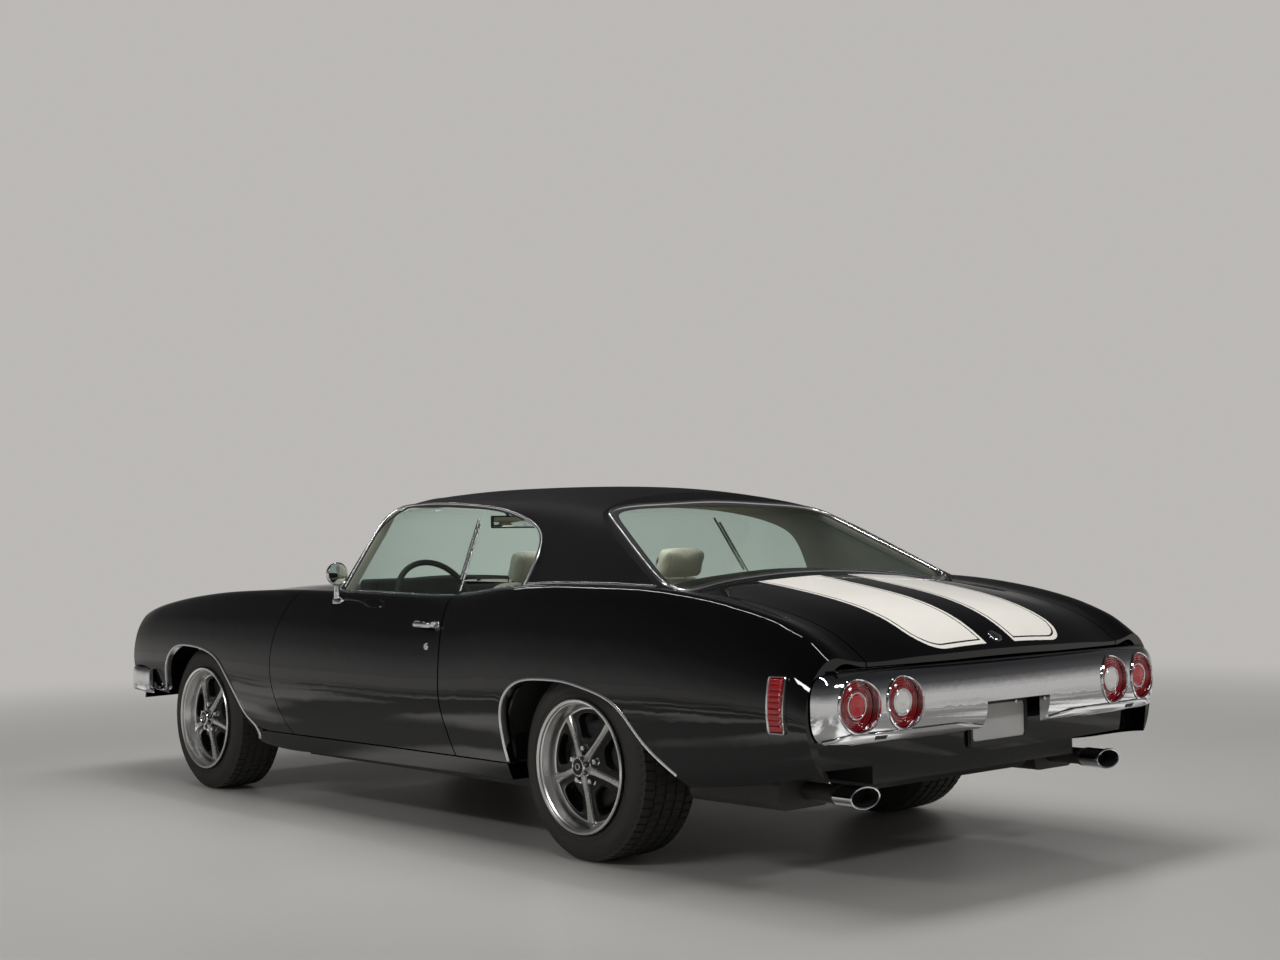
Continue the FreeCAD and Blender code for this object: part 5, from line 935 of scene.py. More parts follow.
def doorHandle(sideName, side):
    h = handleSpots
    doorOnly = surfaceOf("door_" + sideName)
    out = at(0, side, 0)

    def onDoor(x, z, lift):
        return cast(doorOnly, "side", x, z, side)[0] + out * lift
    shape = Shape()
    # plates under both ends
    for x, halfLength in ((h["rear"] + 0.022, 0.024), (h["front"] - 0.014, 0.016)):
        rows = []
        for lift, share in ((-0.003, 1.0), (0.003, 1.0), (0.0055, 0.86), (0.006, 0.5), (0.006, 0.0)):
            row = []
            for a in turns(24):
                along = math.copysign(abs(math.cos(a)) ** 0.7, math.cos(a)) * halfLength * share
                upward = math.copysign(abs(math.sin(a)) ** 0.8, math.sin(a)) * 0.015 * share
                row.append(onDoor(x, h["height"], lift) + at(along, 0, upward))
            rows.append(row)
        shape.rows(rows, 0, closedAcross=True)
    # pull between them, flat and a little bowed
    knots = [(h["rear"] + 0.03, 0.004), (h["rear"] + 0.034, 0.02), (h["rear"] + 0.05, 0.03), (-0.35, 0.034),
             (-0.305, 0.032), (h["front"] - 0.026, 0.024), (h["front"] - 0.014, 0.012), (h["front"] - 0.01, 0.002)]
    path = curveThrough([onDoor(x, h["height"], lift) for x, lift in knots], 0.006)
    oval = [(0.0105 * math.cos(a), 0.0052 * math.sin(a)) for a in turns(12)]
    shape.swept(path, [out] * len(path), oval)
    # push button and lock
    button = onDoor(h["rear"] + 0.014, h["height"], 0)
    shape.turned(mm(12.5, 4, 12.5, 12, 10.5, 13, 10.5, 21, 8.8, 23.5, 0, 24), button, out, 28)
    lock = onDoor(h["lockX"], h["lockZ"], 0)
    shape.turned(mm(14, -2, 13.5, 2, 11.5, 4.2, 7.8, 4.6, 7.2, 3, 0, 3), lock, out, 32)
    shape.block(lock + at(-0.0009, -0.001 if side > 0 else -0.0036, -0.004),
                lock + at(0.0009, 0.0036 if side > 0 else 0.001, 0.004), 0.0003, 1)
    shape.piece("door_handle_" + sideName, [chrome, darkPlastic], "door_" + sideName, "bright_chrome")


mirrorSpots = {"headX": 0.306, "headY": 0.92, "headZ": 1.016, "footX": 0.392, "footY": 0.862}


def mirrorPiece(sideName, side):
    m = mirrorSpots
    head = at(m["headX"], side * m["headY"], m["headZ"])
    shape = Shape()
    ahead = at(1, 0, 0)
    # shallow bowl, bright rim and glass that faces back
    shape.turned(mm(0, 24, 16, 22.5, 30, 18, 40, 10, 46.5, -2, 48.5, -14, 48.5, -20, 47, -22.5, 44.5, -21.5, 44,
                    -18.5), head, ahead, 56, 0)
    shape.turned(mm(44, -18.5, 30, -19, 0, -19.2), head, ahead, 56, 1)
    base = cast(surfaceOf("door_" + sideName), "top", m["footX"], side * m["footY"])[0]
    # stalk that leans out and back from a teardrop foot
    path = curveThrough([base + at(0, 0, -0.004), base + at(-0.01, side * 0.006, 0.028),
                         base + at(-0.038, side * 0.022, 0.06), head + at(0.01, -side * 0.018, -0.038),
                         head + at(0.004, -side * 0.004, -0.012)], 0.006)
    rows = []
    for i, p in enumerate(path):
        share = i / (len(path) - 1)
        wide = 0.014 - 0.005 * share
        rows.append([p + at(wide * 1.5 * math.cos(a), wide * 0.8 * math.sin(a), 0) for a in turns(20)])
    shape.rows(rows, 0, closedAcross=True, capEnds=True)
    rows = []
    for lift, share in ((-0.012, 1.0), (0.002, 1.0), (0.006, 0.85), (0.0085, 0.5), (0.009, 0.0)):
        rows.append([base + at(0.04 * share * math.cos(a) - 0.01 * share, 0.017 * share * math.sin(a),
                               lift - 0.006 * share * abs(math.sin(a))) for a in turns(28)])
    shape.rows(rows, 0, closedAcross=True)
    shape.piece("round_mirror_" + sideName, [chrome, mirrorGlass], "door_" + sideName, "bright_chrome",
                ("mirror_" + sideName,))


markerSizes = {"x": (-2.3225, -2.2655), "z": (0.5265, 0.6895), "ribs": 9}


def sideMarker(sideName, side):
    # ribbed lens in a bright frame ahead of the bumper's end
    (lowX, highX), (lowZ, highZ), ribs = markerSizes.values()
    shape = Shape()
    tree = surfaceOf("marker_lamps")

    def relief(u, v):
        wave = abs(math.sin(math.pi * ribs * v))
        return 0.0015 + 0.0035 * min(wave * 2.2, 1.0) if 0.06 < u < 0.94 else 0.001
    patch(shape, "side", (lowX + 0.001, highX - 0.001), (lowZ + 0.001, highZ - 0.001), (10, ribs * 8), relief, 0,
          tree, side, 0.006)
    corners = [(lowX, lowZ), (highX, lowZ), (highX, highZ), (lowX, highZ)]
    line, centre = [], ((lowX + highX) / 2, (lowZ + highZ) / 2)
    for k in range(4):
        a, b = corners[k], corners[(k + 1) % 4]
        for i in range(14):
            share = 0.04 + 0.92 * i / 13
            line.append((a[0] + (b[0] - a[0]) * share, a[1] + (b[1] - a[1]) * share))
    line = [(a + (a - centre[0]) * 0.1, b + (b - centre[1]) * 0.03) for a, b in line]
    path, ups = trail(surfaceOf("quarter_panels"), "side", line, side)
    shape.swept(path, smoothLine(ups, 6, True), mm(-4.5, -2, -4.5, 6, -3, 10.5, 0, 11, 3, 8.5, 4.5, 2, 4.5, -2), 1,
                True)
    shape.piece("side_marker_" + sideName, [redLens, chrome], "body", "red_lens")


for sideName, side in sides:
    doorHandle(sideName, side)
    mirrorPiece(sideName, side)
    sideMarker(sideName, side)
print("handles, mirrors and markers done")


# plate frame, bumper lip, jack slots, lock and pipe ends at the tail
tail = {"plateX": -2.4165, "plateLow": 0.42, "plateHigh": 0.57, "plateHalf": 0.15, "tipX": -2.396, "tipY": 0.65,
        "tipZ": 0.306}


def plateFrame():
    shape = Shape()
    p = tail
    back = at(-1, 0, 0)
    corner = 0.012
    outline = []
    for signY, signZ, startAngle in ((1, 1, 0), (-1, 1, 90), (-1, -1, 180), (1, -1, 270)):
        cy = signY * (p["plateHalf"] + 0.004 - corner)
        cz = (p["plateLow"] + p["plateHigh"]) / 2 + signZ * ((p["plateHigh"] - p["plateLow"]) / 2 + 0.004 - corner)
        for i in range(6):
            a = math.radians(startAngle + 90 * i / 5)
            outline.append(at(p["plateX"], cy + corner * math.cos(a), cz + corner * math.sin(a)))
    line = spaced(outline, 0.012, True)
    middle = at(p["plateX"], 0, (p["plateLow"] + p["plateHigh"]) / 2)
    rows = []
    for point in line:
        inward = at(0, middle.y - point.y, middle.z - point.z)
        inward = at(0, math.copysign(min(abs(inward.y), 0.013), inward.y),
                    math.copysign(min(abs(inward.z), 0.02), inward.z))
        rows.append([point + back * -0.002, point + back * 0.004, point + inward * 0.12 + back * 0.0062,
                     point + inward * 0.8 + back * 0.0062, point + inward + back * 0.0045,
                     point + inward + back * -0.001])
    shape.rows(rows, 0, closedAlong=True)
    for side in (1, -1):
        seat = at(p["plateX"] - 0.0005, side * 0.089, 0.5545)
        shape.turned(mm(8.5, 0, 8.5, 7.5, 7, 10.5, 4, 11.8, 0, 12), seat, back, 24, 1)
    shape.piece("plate_frame", [darkPlastic, chrome], "body", "dark_plastic")


def bumperLip():
    # rolled lower lip on both sides of the plate, and dark patches on it for the slots for the jack, painted shade
    # in their openings
    shape = Shape()
    for side in (1, -1):
        path, ups = trail(bumperSkin, "rear", [(side * (0.176 + 0.745 * i / 60), 0.5) for i in range(61)])
        path, ups = smoothLine(path, 3), smoothLine(ups, 8)
        count = len(path)
        widths = [min(1.0, 0.25 + 4 * i / count, 0.25 + 6 * (count - 1 - i) / count) for i in range(count)]
        shape.swept(path, ups, [(a * 0.046, b * 0.01) for a, b in halfRound], 0, widths=widths)
        # jack slots: dark patches on the lip, painted shade in place of the openings
        path, ups = trail(bumperSkin, "rear", [(side * (0.64 + 0.048 * i / 12), 0.506) for i in range(13)], 1,
                          -0.0085)
        shape.swept(path, smoothLine(ups, 3), mm(-7, -3, -7, 2, -5, 2.8, 5, 2.8, 7, 2, 7, -3), 1)
    shape.piece("rear_bumper_lip", [chrome, darkPlastic], "body", "bright_chrome")


def tailFiller():
    # closes the step between the lid's rear edge and the bumper's top
    shape = Shape()
    shape.block((-2.452, -0.815, 0.688), (-2.385, 0.815, 0.709))
    shape.piece("tail_filler", [bodyPaint], "body", "body_paint")


def lidLock():
    shape = Shape()
    seat = cast(surfaceOf("deck_lid"), "rear", 0.0, 0.778)
    place, normal = seat[0], seat[1]
    shape.turned(mm(26, -3, 26, 2, 23.5, 4.5, 18, 5.2), place, normal, 40, 0)
    shape.turned(mm(18, 5.2, 16.5, 3.6, 10, 3.4), place, normal, 40, 1)
    shape.turned(mm(10, 3.4, 9.8, 6, 8.5, 6.8, 0, 6.8), place, normal, 32, 0)
    shape.piece("deck_lid_lock", [chrome, darkPlastic], "deck_lid", "bright_chrome")


def pipeTips():
    shape = Shape()
    for side in (1, -1):
        rows = []
        for x, grow in ((0.078, 0.0005), (0.01, 0.0016), (0.003, 0.003), (0.0, 0.0036), (-0.0035, 0.003),
                        (-0.0045, 0.001), (-0.003, -0.003), (0.004, -0.0046), (0.055, -0.0046)):
            rows.append([at(tail["tipX"] + x, side * tail["tipY"] + (0.066 + grow) * math.cos(a),
                            tail["tipZ"] + (0.033 + grow) * math.sin(a)) for a in turns(56)])
        shape.rows(rows[:8], 0, closedAcross=True)
        # inside the tip: a sooty wall, and a near-black disc closing the pipe, painted shade of the pipe's depth
        shape.rows([rows[7], rows[8]], 1, closedAcross=True)
        shape.mesh.faces.new([shape.mesh.verts.new(p) for p in rows[8]]).material_index = 1
    shape.piece("exhaust_tips", [chrome, sootAndShade], "body", "bright_chrome")


tailFiller()
plateFrame()
bumperLip()
lidLock()
pipeTips()
print("tail details done")


# headliner and pillar trim: the roof's own inner faces, a little inside them
def headliner():
    mesh = nodes["roof"].data
    tree = surfaceOf("roof")
    cabin = at(-0.35, 0.0, 1.02)
    shape = Shape()
    made = {}
    for face in mesh.polygons:
        middle, normal = face.center, face.normal
        toCabin = at(cabin.x + (middle.x - cabin.x) * 0.4, middle.y * 0.3, cabin.z) - middle
        if normal.dot(toCabin.normalized()) < 0.12:
            continue
        through = tree.ray_cast(middle - normal * 0.002, -normal)
        if through[0] is None or through[3] > 0.075:
            continue
        blocked = tree.ray_cast(middle + normal * 0.003, toCabin.normalized(), toCabin.length * 0.8)
        if blocked[0] is not None:
            continue
        verts = []
        for index in face.vertices:
            if index not in made:
                made[index] = shape.mesh.verts.new(mesh.vertices[index].co + normal * 0.003)
            verts.append(made[index])
        if len(set(verts)) > 2:
            try:
                shape.mesh.faces.new(verts)
            except ValueError:
                pass
    shape.piece("headliner", [headCloth], "body", "seat_vinyl")


headliner()
print("headliner done")


# seats: soft forms blown up by the cloth solver, then pleated
def padMesh(half, power, cuts, pinch=0.0):
    mesh = bmesh.new()
    bmesh.ops.create_cube(mesh, size=2.0)
    bmesh.ops.subdivide_edges(mesh, edges=mesh.edges[:], cuts=cuts, use_grid_fill=True)
    for vert in mesh.verts:
        p = vert.co
        length = (abs(p.x) ** power + abs(p.y) ** power + abs(p.z) ** power) ** (1 / power)
        p /= max(length, 1e-6)
        waist = 1 - pinch * (1 - p.x * p.x) * (1 - p.z * p.z)
        vert.co = at(p.x * half[0], p.y * half[1] * waist, p.z * half[2])
    return mesh


padSettings = {"cuts": 14, "frames": 20, "pressure": 4.0, "fill": 0.75}


def pad(name, centre, half, lean, voxel, cap, pleats, power=5.0, pinch=0.04):
    # cap: how far the blown form may move from the drawn one
    mesh = padMesh(half, power, padSettings["cuts"], pinch)
    data = bpy.data.meshes.new(name)
    mesh.to_mesh(data)
    mesh.free()
    made = linked(name, data)
    remesh = made.modifiers.new("grid", "REMESH")
    remesh.mode = "VOXEL"
    remesh.voxel_size = voxel
    apply(made)
    rest = [v.co.copy() for v in made.data.vertices]
    cloth = made.modifiers.new("blow", "CLOTH")
    cloth.settings.use_pressure = True
    cloth.settings.uniform_pressure_force = padSettings["pressure"]
    cloth.settings.effector_weights.gravity = 0.0
    cloth.settings.quality = 4
    cloth.collision_settings.use_collision = False
    cloth.collision_settings.use_self_collision = False
    for step in range(padSettings["frames"]):
        scene.frame_set(step + 1)
    apply(made)
    scene.frame_set(1)
    for vert, start in zip(made.data.vertices, rest):
        move = vert.co - start
        if move.length > cap:
            vert.co = start + move * (cap / move.length)
    fine = made.modifiers.new("smooth", "SUBSURF")
    fine.levels = fine.render_levels = 1
    apply(made)
    turn = Matrix.Rotation(math.radians(-lean), 3, "Y")
    normals = [v.normal.copy() for v in made.data.vertices]
    for vert, normal in zip(made.data.vertices, normals):
        vert.co += normal * pleats(vert.co, normal)
    for vert in made.data.vertices:
        vert.co = turn @ vert.co + Vector(centre)
    for face in made.data.polygons:
        face.use_smooth = True
    return made


def apply(made):
    shaped = bpy.data.meshes.new_from_object(made.evaluated_get(bpy.context.evaluated_depsgraph_get()))
    made.modifiers.clear()
    made.data = shaped


seatSizes = {"y": 0.4, "cushion": (0.022, 0.468), "back": (-0.277, 0.727), "rest": (-0.397, 1.03), "lean": 20.0,
             "channelPitch": 0.052, "channelDepth": 0.006}


def channels(limits, facing):
    # sewn channels in the middle panel and one seam round it
    pitch, depth = seatSizes["channelPitch"], seatSizes["channelDepth"]

    def lift(p, normal):
        if normal[facing] < 0.3:
            return 0.0
        other = p.x if facing == 2 else p.z
        inside = min(limits[0] - abs(p.y), limits[1] - abs(other))
        seam = -depth * 1.1 * math.exp(-(inside / 0.006) ** 2)
        if inside < 0:
            return seam
        wave = abs(math.sin(math.pi * p.y / pitch))
        return seam - depth * math.exp(-(wave / 0.28) ** 2) * min(inside / 0.01, 1.0)
    return lift


def finishPad(made, name, twin=False):
    if twin:
        # the same pad on the other side of the car
        data = made.data.copy()
        made = linked(name, data)
        for vert in data.vertices:
            vert.co.y = -vert.co.y
        data.flip_normals()
    made.name = name
    made.data.materials.clear()
    made.data.materials.append(seatVinyl)
    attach(made, "body")
    return made


def frontSeats():
    s = seatSizes
    parts = (("cushion", (s["cushion"][0], s["y"], s["cushion"][1]), (0.248, 0.222, 0.06), 3.0, 0.01, 0.022,
              channels((0.15, 0.19), 2)),
             ("back", (s["back"][0], s["y"], s["back"][1]), (0.05, 0.22, 0.272), s["lean"], 0.01, 0.022,
              channels((0.145, 0.2), 0)),
             ("headrest", (s["rest"][0], s["y"], s["rest"][1]), (0.032, 0.124, 0.064), s["lean"], 0.007, 0.012,
              lambda p, _: -0.003 * math.exp(-((abs(p.y) - 0.085) / 0.004) ** 2)))
    for label, centre, half, lean, voxel, cap, pleats in parts:
        made = pad("front_seat_" + label + "_left", centre, half, lean, voxel, cap, pleats)
        finishPad(made, "front_seat_" + label + "_left")
        twin = finishPad(made, "front_seat_" + label + "_right", twin=True)
        if label == "cushion":
            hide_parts("front_seats")
            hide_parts("front_seats")
    # plinth, side trim, hinges and headrest posts
    for sideName, side in sides:
        shape = Shape()
        y = side * s["y"]
        shape.block((-0.225, y - 0.19, 0.3235), (0.235, y + 0.19, 0.345), 0.005, 0)
        for offset in (-0.165, 0.165):
            shape.block((-0.205, y + offset - 0.014, 0.335), (0.215, y + offset + 0.014, 0.368), 0.004, 1)
        shape.block((-0.205, y - 0.195, 0.362), (0.215, y + 0.195, 0.412), 0.012, 0, steps=3)
        for offset in (-0.232, 0.232):
            shape.turned(mm(24, -7, 24, 4, 20, 7, 0, 7), (-0.218, y + offset, 0.475),
                         (0, math.copysign(1, offset), 0), 28, 1)
            shape.swept([at(-0.2, y + offset, 0.44), at(-0.214, y + offset, 0.47), at(-0.25, y + offset, 0.56),
                         at(-0.272, y + offset, 0.62)], [at(0, 1, 0)] * 4, mm(-14, -3, 14, -3, 14, 3, -14, 3), 1)
        for offset in (-0.05, 0.05):
            shape.tube([at(-0.355, y + offset, 0.925), at(-0.392, y + offset, 1.02)], 0.006, 10, 2)
        shape.piece("front_seat_frame_" + sideName, [darkPlastic, satinBlack, chrome], "body", "seat_vinyl")


def rearSeat():
    def cushionPleats(p, normal):
        hump = 0.02 * math.exp(-(p.y / 0.13) ** 2) if normal.z > 0.2 else 0.0
        return hump + channels((0.5, 0.16), 2)(p, normal)
    parts = (("cushion", (-0.592, 0.0, 0.42), (0.2, 0.545, 0.072), 2.0, 0.013, 0.02, cushionPleats),
             ("back", (-0.8, 0.0, 0.752), (0.048, 0.545, 0.168), 12.0, 0.013, 0.018,
              channels((0.5, 0.13), 0)))
    for label, centre, half, lean, voxel, cap, pleats in parts:
        made = pad("rear_seat_" + label, centre, half, lean, voxel, cap, pleats, 6.0, 0.0)
        finishPad(made, "rear_seat_" + label)
        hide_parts("rear_seat")
    shape = Shape()
    # riser trim under the cushion and the shelf with two grilles
    shape.block((-0.8, -0.545, 0.3235), (-0.42, 0.545, 0.372), 0.01, 0, steps=3)
    shape.block((-1.395, -0.7, 0.922), (-0.8, 0.7, 0.936), 0.004, 1)
    for side in (1, -1):
        shape.turned(mm(78, 0, 76, 6, 70, 8, 66, 6, 0, 6.5), (-1.08, side * 0.4, 0.936), (0, 0, 1), 40, 0)
        for k in range(6):
            shape.turned([(0.01 + 0.01 * k, 0.0065), (0.012 + 0.01 * k, 0.009), (0.015 + 0.01 * k, 0.009),
                          (0.017 + 0.01 * k, 0.0065)], (-1.08, side * 0.4, 0.936), (0, 0, 1), 40, 0)
    shape.piece("rear_shelf", [darkPlastic, carpetBlack], "body", "dark_plastic", ("rear_seat",))


frontSeats()
rearSeat()
print("seats done")


# cabin details: door cards, dials, console and the inner mirror
def cabinPieces():
    for sideName, side in sides:
        tree = surfaceOf("door_" + sideName)
        shape = Shape()

        def inner(x, z):
            hit = tree.ray_cast(at(x, 0.3 * side, z), at(0, side, 0))
            return hit[0] if hit[0] else at(x, 0.8 * side, z)
        # the card's relief: heights and how far it stands off the door there
        relief = ((0.4, 0.002), (0.402, 0.008), (0.56, 0.009), (0.575, 0.006), (0.59, 0.01), (0.72, 0.012),
                  (0.735, 0.008), (0.75, 0.013), (0.84, 0.014), (0.846, 0.003))
        columns = [-0.42 + 1.06 * i / 24 for i in range(25)]
        shape.rows([[inner(x, z) + at(0, -side * lift, 0) for z, lift in relief] for x in columns])
        # arm rest and window crank
        wall = inner(0.02, 0.64)
        path = curveThrough([wall + at(-0.19, -side * 0.004, -0.02), wall + at(-0.16, -side * 0.035, 0.0),
                             wall + at(0.0, -side * 0.045, 0.012), wall + at(0.16, -side * 0.038, 0.03),
                             wall + at(0.22, -side * 0.006, 0.04)], 0.02)
        oval = [(0.03 * math.cos(a), 0.022 * math.sin(a)) for a in turns(14)]
        shape.swept(path, [at(0, 0, 1)] * len(path), oval, 1)
        hub = inner(0.34, 0.62)
        shape.turned(mm(22, 0, 22, 10, 16, 14, 0, 15), hub + at(0, -side * 0.008, 0), (0, -side, 0), 28, 2)
        shape.tube([hub + at(0, -side * 0.02, 0), hub + at(-0.05, -side * 0.026, 0.035),
                    hub + at(-0.085, -side * 0.028, 0.06)], 0.006, 10, 2)
        shape.turned(mm(12, 0, 13, 8, 10, 22, 0, 25), hub + at(-0.085, -side * 0.03, 0.06), (0, -side, 0), 20, 1)
        shape.piece("door_card_" + sideName, [seatVinyl, darkPlastic, chrome], "door_" + sideName, "seat_vinyl")
    shape = Shape()
    # dial cluster, centre panel and glove lid on the dash's rear face
    shape.block((0.466, 0.19, 0.752), (0.5, 0.61, 0.87), 0.012, 0, steps=3)
    # padded top and the hood over the dials
    shape.block((0.478, -0.615, 0.872), (0.73, 0.615, 0.945), 0.022, 0, steps=4)
    shape.block((0.445, 0.185, 0.862), (0.62, 0.615, 0.985), 0.026, 0, steps=4)
    for y, radius in ((0.285, 0.046), (0.4, 0.052), (0.515, 0.046), (0.225, 0.02), (0.575, 0.02)):
        spot = at(0.466, y, 0.812)
        shape.turned([(radius, -0.002), (radius, 0.006), (radius - 0.003, 0.007), (radius - 0.005, 0.002),
                      (0.0, 0.0018)], spot, (-1, 0, 0), 36, 1)
        shape.turned([(radius * 0.72, 0.0022), (radius * 0.7, 0.0032), (radius * 0.66, 0.0032),
                      (radius * 0.64, 0.0022)], spot, (-1, 0, 0), 36, 2)
        shape.swept([spot + at(-0.004, 0, 0), spot + at(-0.004, radius * 0.3, radius * 0.42)], [at(-1, 0, 0)] * 2,
                    mm(-1.2, 0, 1.2, 0, 1.2, 1, -1.2, 1), 3)
    shape.block((0.47, -0.11, 0.735), (0.5, 0.11, 0.865), 0.008, 0)
    for k in range(5):
        shape.block((0.464, -0.085, 0.835 - 0.01 * k), (0.474, 0.085, 0.839 - 0.01 * k), 0.001, 1)
    for y in (-0.07, 0.07):
        shape.turned(mm(13, 0, 13, 14, 10, 18, 0, 18), (0.47, y, 0.762), (-1, 0, 0), 24, 1)
    shape.block((0.474, -0.6, 0.735), (0.49, -0.19, 0.85), 0.006, 0)
    shape.turned(mm(10, 0, 10, 8, 0, 9), (0.474, -0.395, 0.835), (-1, 0, 0), 20, 1)
    # console and selector on the tunnel
    shape.block((-0.1, -0.085, 0.478), (0.42, 0.085, 0.54), 0.018, 0, steps=3)
    shape.tube([at(0.15, 0, 0.535), at(0.12, 0, 0.64)], 0.007, 12, 1)
    shape.turned(mm(0, 26, 14, 22, 19, 8, 16, -10, 8, -18, 0, -19), (0.116, 0, 0.655), (-0.25, 0, 1), 24, 0)
    shape.piece("dash_panel", [darkPlastic, chrome, plateGrey, brightRed], "body", "dark_plastic")
    # inner mirror under the front of the roof
    shape = Shape()
    shape.block((0.275, -0.125, 1.2), (0.292, 0.125, 1.257), 0.007, 0, steps=3)
    shape.block((0.2735, -0.118, 1.206), (0.2755, 0.118, 1.251), 0.0008, 1)
    shape.tube([at(0.29, 0, 1.233), at(0.325, 0, 1.258), at(0.34, 0, 1.27)], 0.006, 12, 0)
    shape.piece("inner_mirror", [darkPlastic, mirrorGlass], "body", "dark_plastic")


cabinPieces()
print("cabin details done")


# rear wheelhouses: the black shells over the rear wheels
houseSizes = {"radius": 0.418, "inner": 0.615, "outer": 0.905}


def wheelhouse(sideName, side):
    radius, inner, outer = houseSizes.values()
    shape = Shape()
    rows = []
    for i in range(49):
        turn = math.radians(12 + 156 * i / 48)
        c, s = math.cos(turn), math.sin(turn)
        row = []
        for y, r in ((inner, 0.15), (inner, 0.396), (inner + 0.006, 0.412), (inner + 0.022, radius), (0.75, radius),
                     (outer, radius), (outer, radius + 0.002), (inner + 0.02, radius + 0.003),
                     (inner - 0.003, 0.398), (inner - 0.003, 0.15)):
            row.append(at(rearAxle + r * c, side * y, axleHeight + r * s))
        rows.append(row)
    shape.rows(rows, 0, closedAcross=True, capEnds=True)
    shape.piece("wheelhouse_" + sideName, [carpetBlack], "body", "chassis_black")


for sideName, side in sides:
    wheelhouse(sideName, side)


# headlamps: bright ring and fluted lens, the lens made metallic to look like the bowl behind it
def fluteGrain(graph):
    y = graph.split(graph.place())[1]
    across = (y * 520.0).calc("SINE", y * 520.0, 0.0)
    lens = graph.noise(22.0, 2.0)
    return {"colour": graph.mix(lens, (0.5, 0.51, 0.52), (0.8, 0.81, 0.82)), "rough": 0.06 + 0.06 * lens,
            "metal": 0.55 + 0.2 * lens, "normal": graph.bump(0.5 + 0.5 * across, 0.5, 0.0016)}


lampGlass = material("lamp_glass", fluteGrain, coat=1.0, coatRough=0.01)


headlampSpot = {"x": 2.336, "y": 0.64, "z": 0.6685}


def headlampPiece(sideName, side):
    spot = at(headlampSpot["x"], headlampSpot["y"] * side, headlampSpot["z"])
    ahead = at(1, 0, 0)
    shape = Shape()
    shape.turned(mm(96.5, 10, 96.5, 24, 93.5, 27.5, 88.5, 26.5, 84.5, 20, 83.5, 8), spot, ahead, 72, 0)
    shape.turned(mm(83.5, 9, 80, 13, 66, 17.5, 45, 20.5, 20, 21.8, 0, 22), spot, ahead, 72, 1)
    for angle in (0.6, 2.5, 4.7):
        way = at(0, math.cos(angle), math.sin(angle))
        shape.turned(mm(3.5, 0, 3.5, 2, 0, 2.6), spot + way * 0.091 + ahead * 0.0265, ahead, 12, 2)
    shape.piece("headlamp_" + sideName, [chrome, lampGlass, darkPlastic], "body", "clear_lens")


for sideName, side in sides:
    headlampPiece(sideName, side)


# engine bay: eight cylinders in two banks with what hangs on them
def prism(shape, section, low, high, finish, soft=0.0):
    # a section of (y, z) points drawn out along the car
    rows = []
    for x, shrink in ((low, soft), (low + soft, 0.0), (high - soft, 0.0), (high, soft)):
        middle = at(sum(p[0] for p in section), sum(p[1] for p in section)) / len(section)
        row = []
        for y, z in section:
            offset = at(y, z) - middle
            inward = offset * (1 - shrink / max(offset.length, 0.001))
            row.append(at(x, middle.x + inward.x, middle.y + inward.y))
        rows.append(row)
    shape.rows(rows, finish, closedAcross=True, capEnds=True)


engineSpots = {"pulleyX": 1.545, "fanX": 1.6, "fanZ": 0.61, "blades": 5, "filterX": 1.245, "bellX": 0.945}


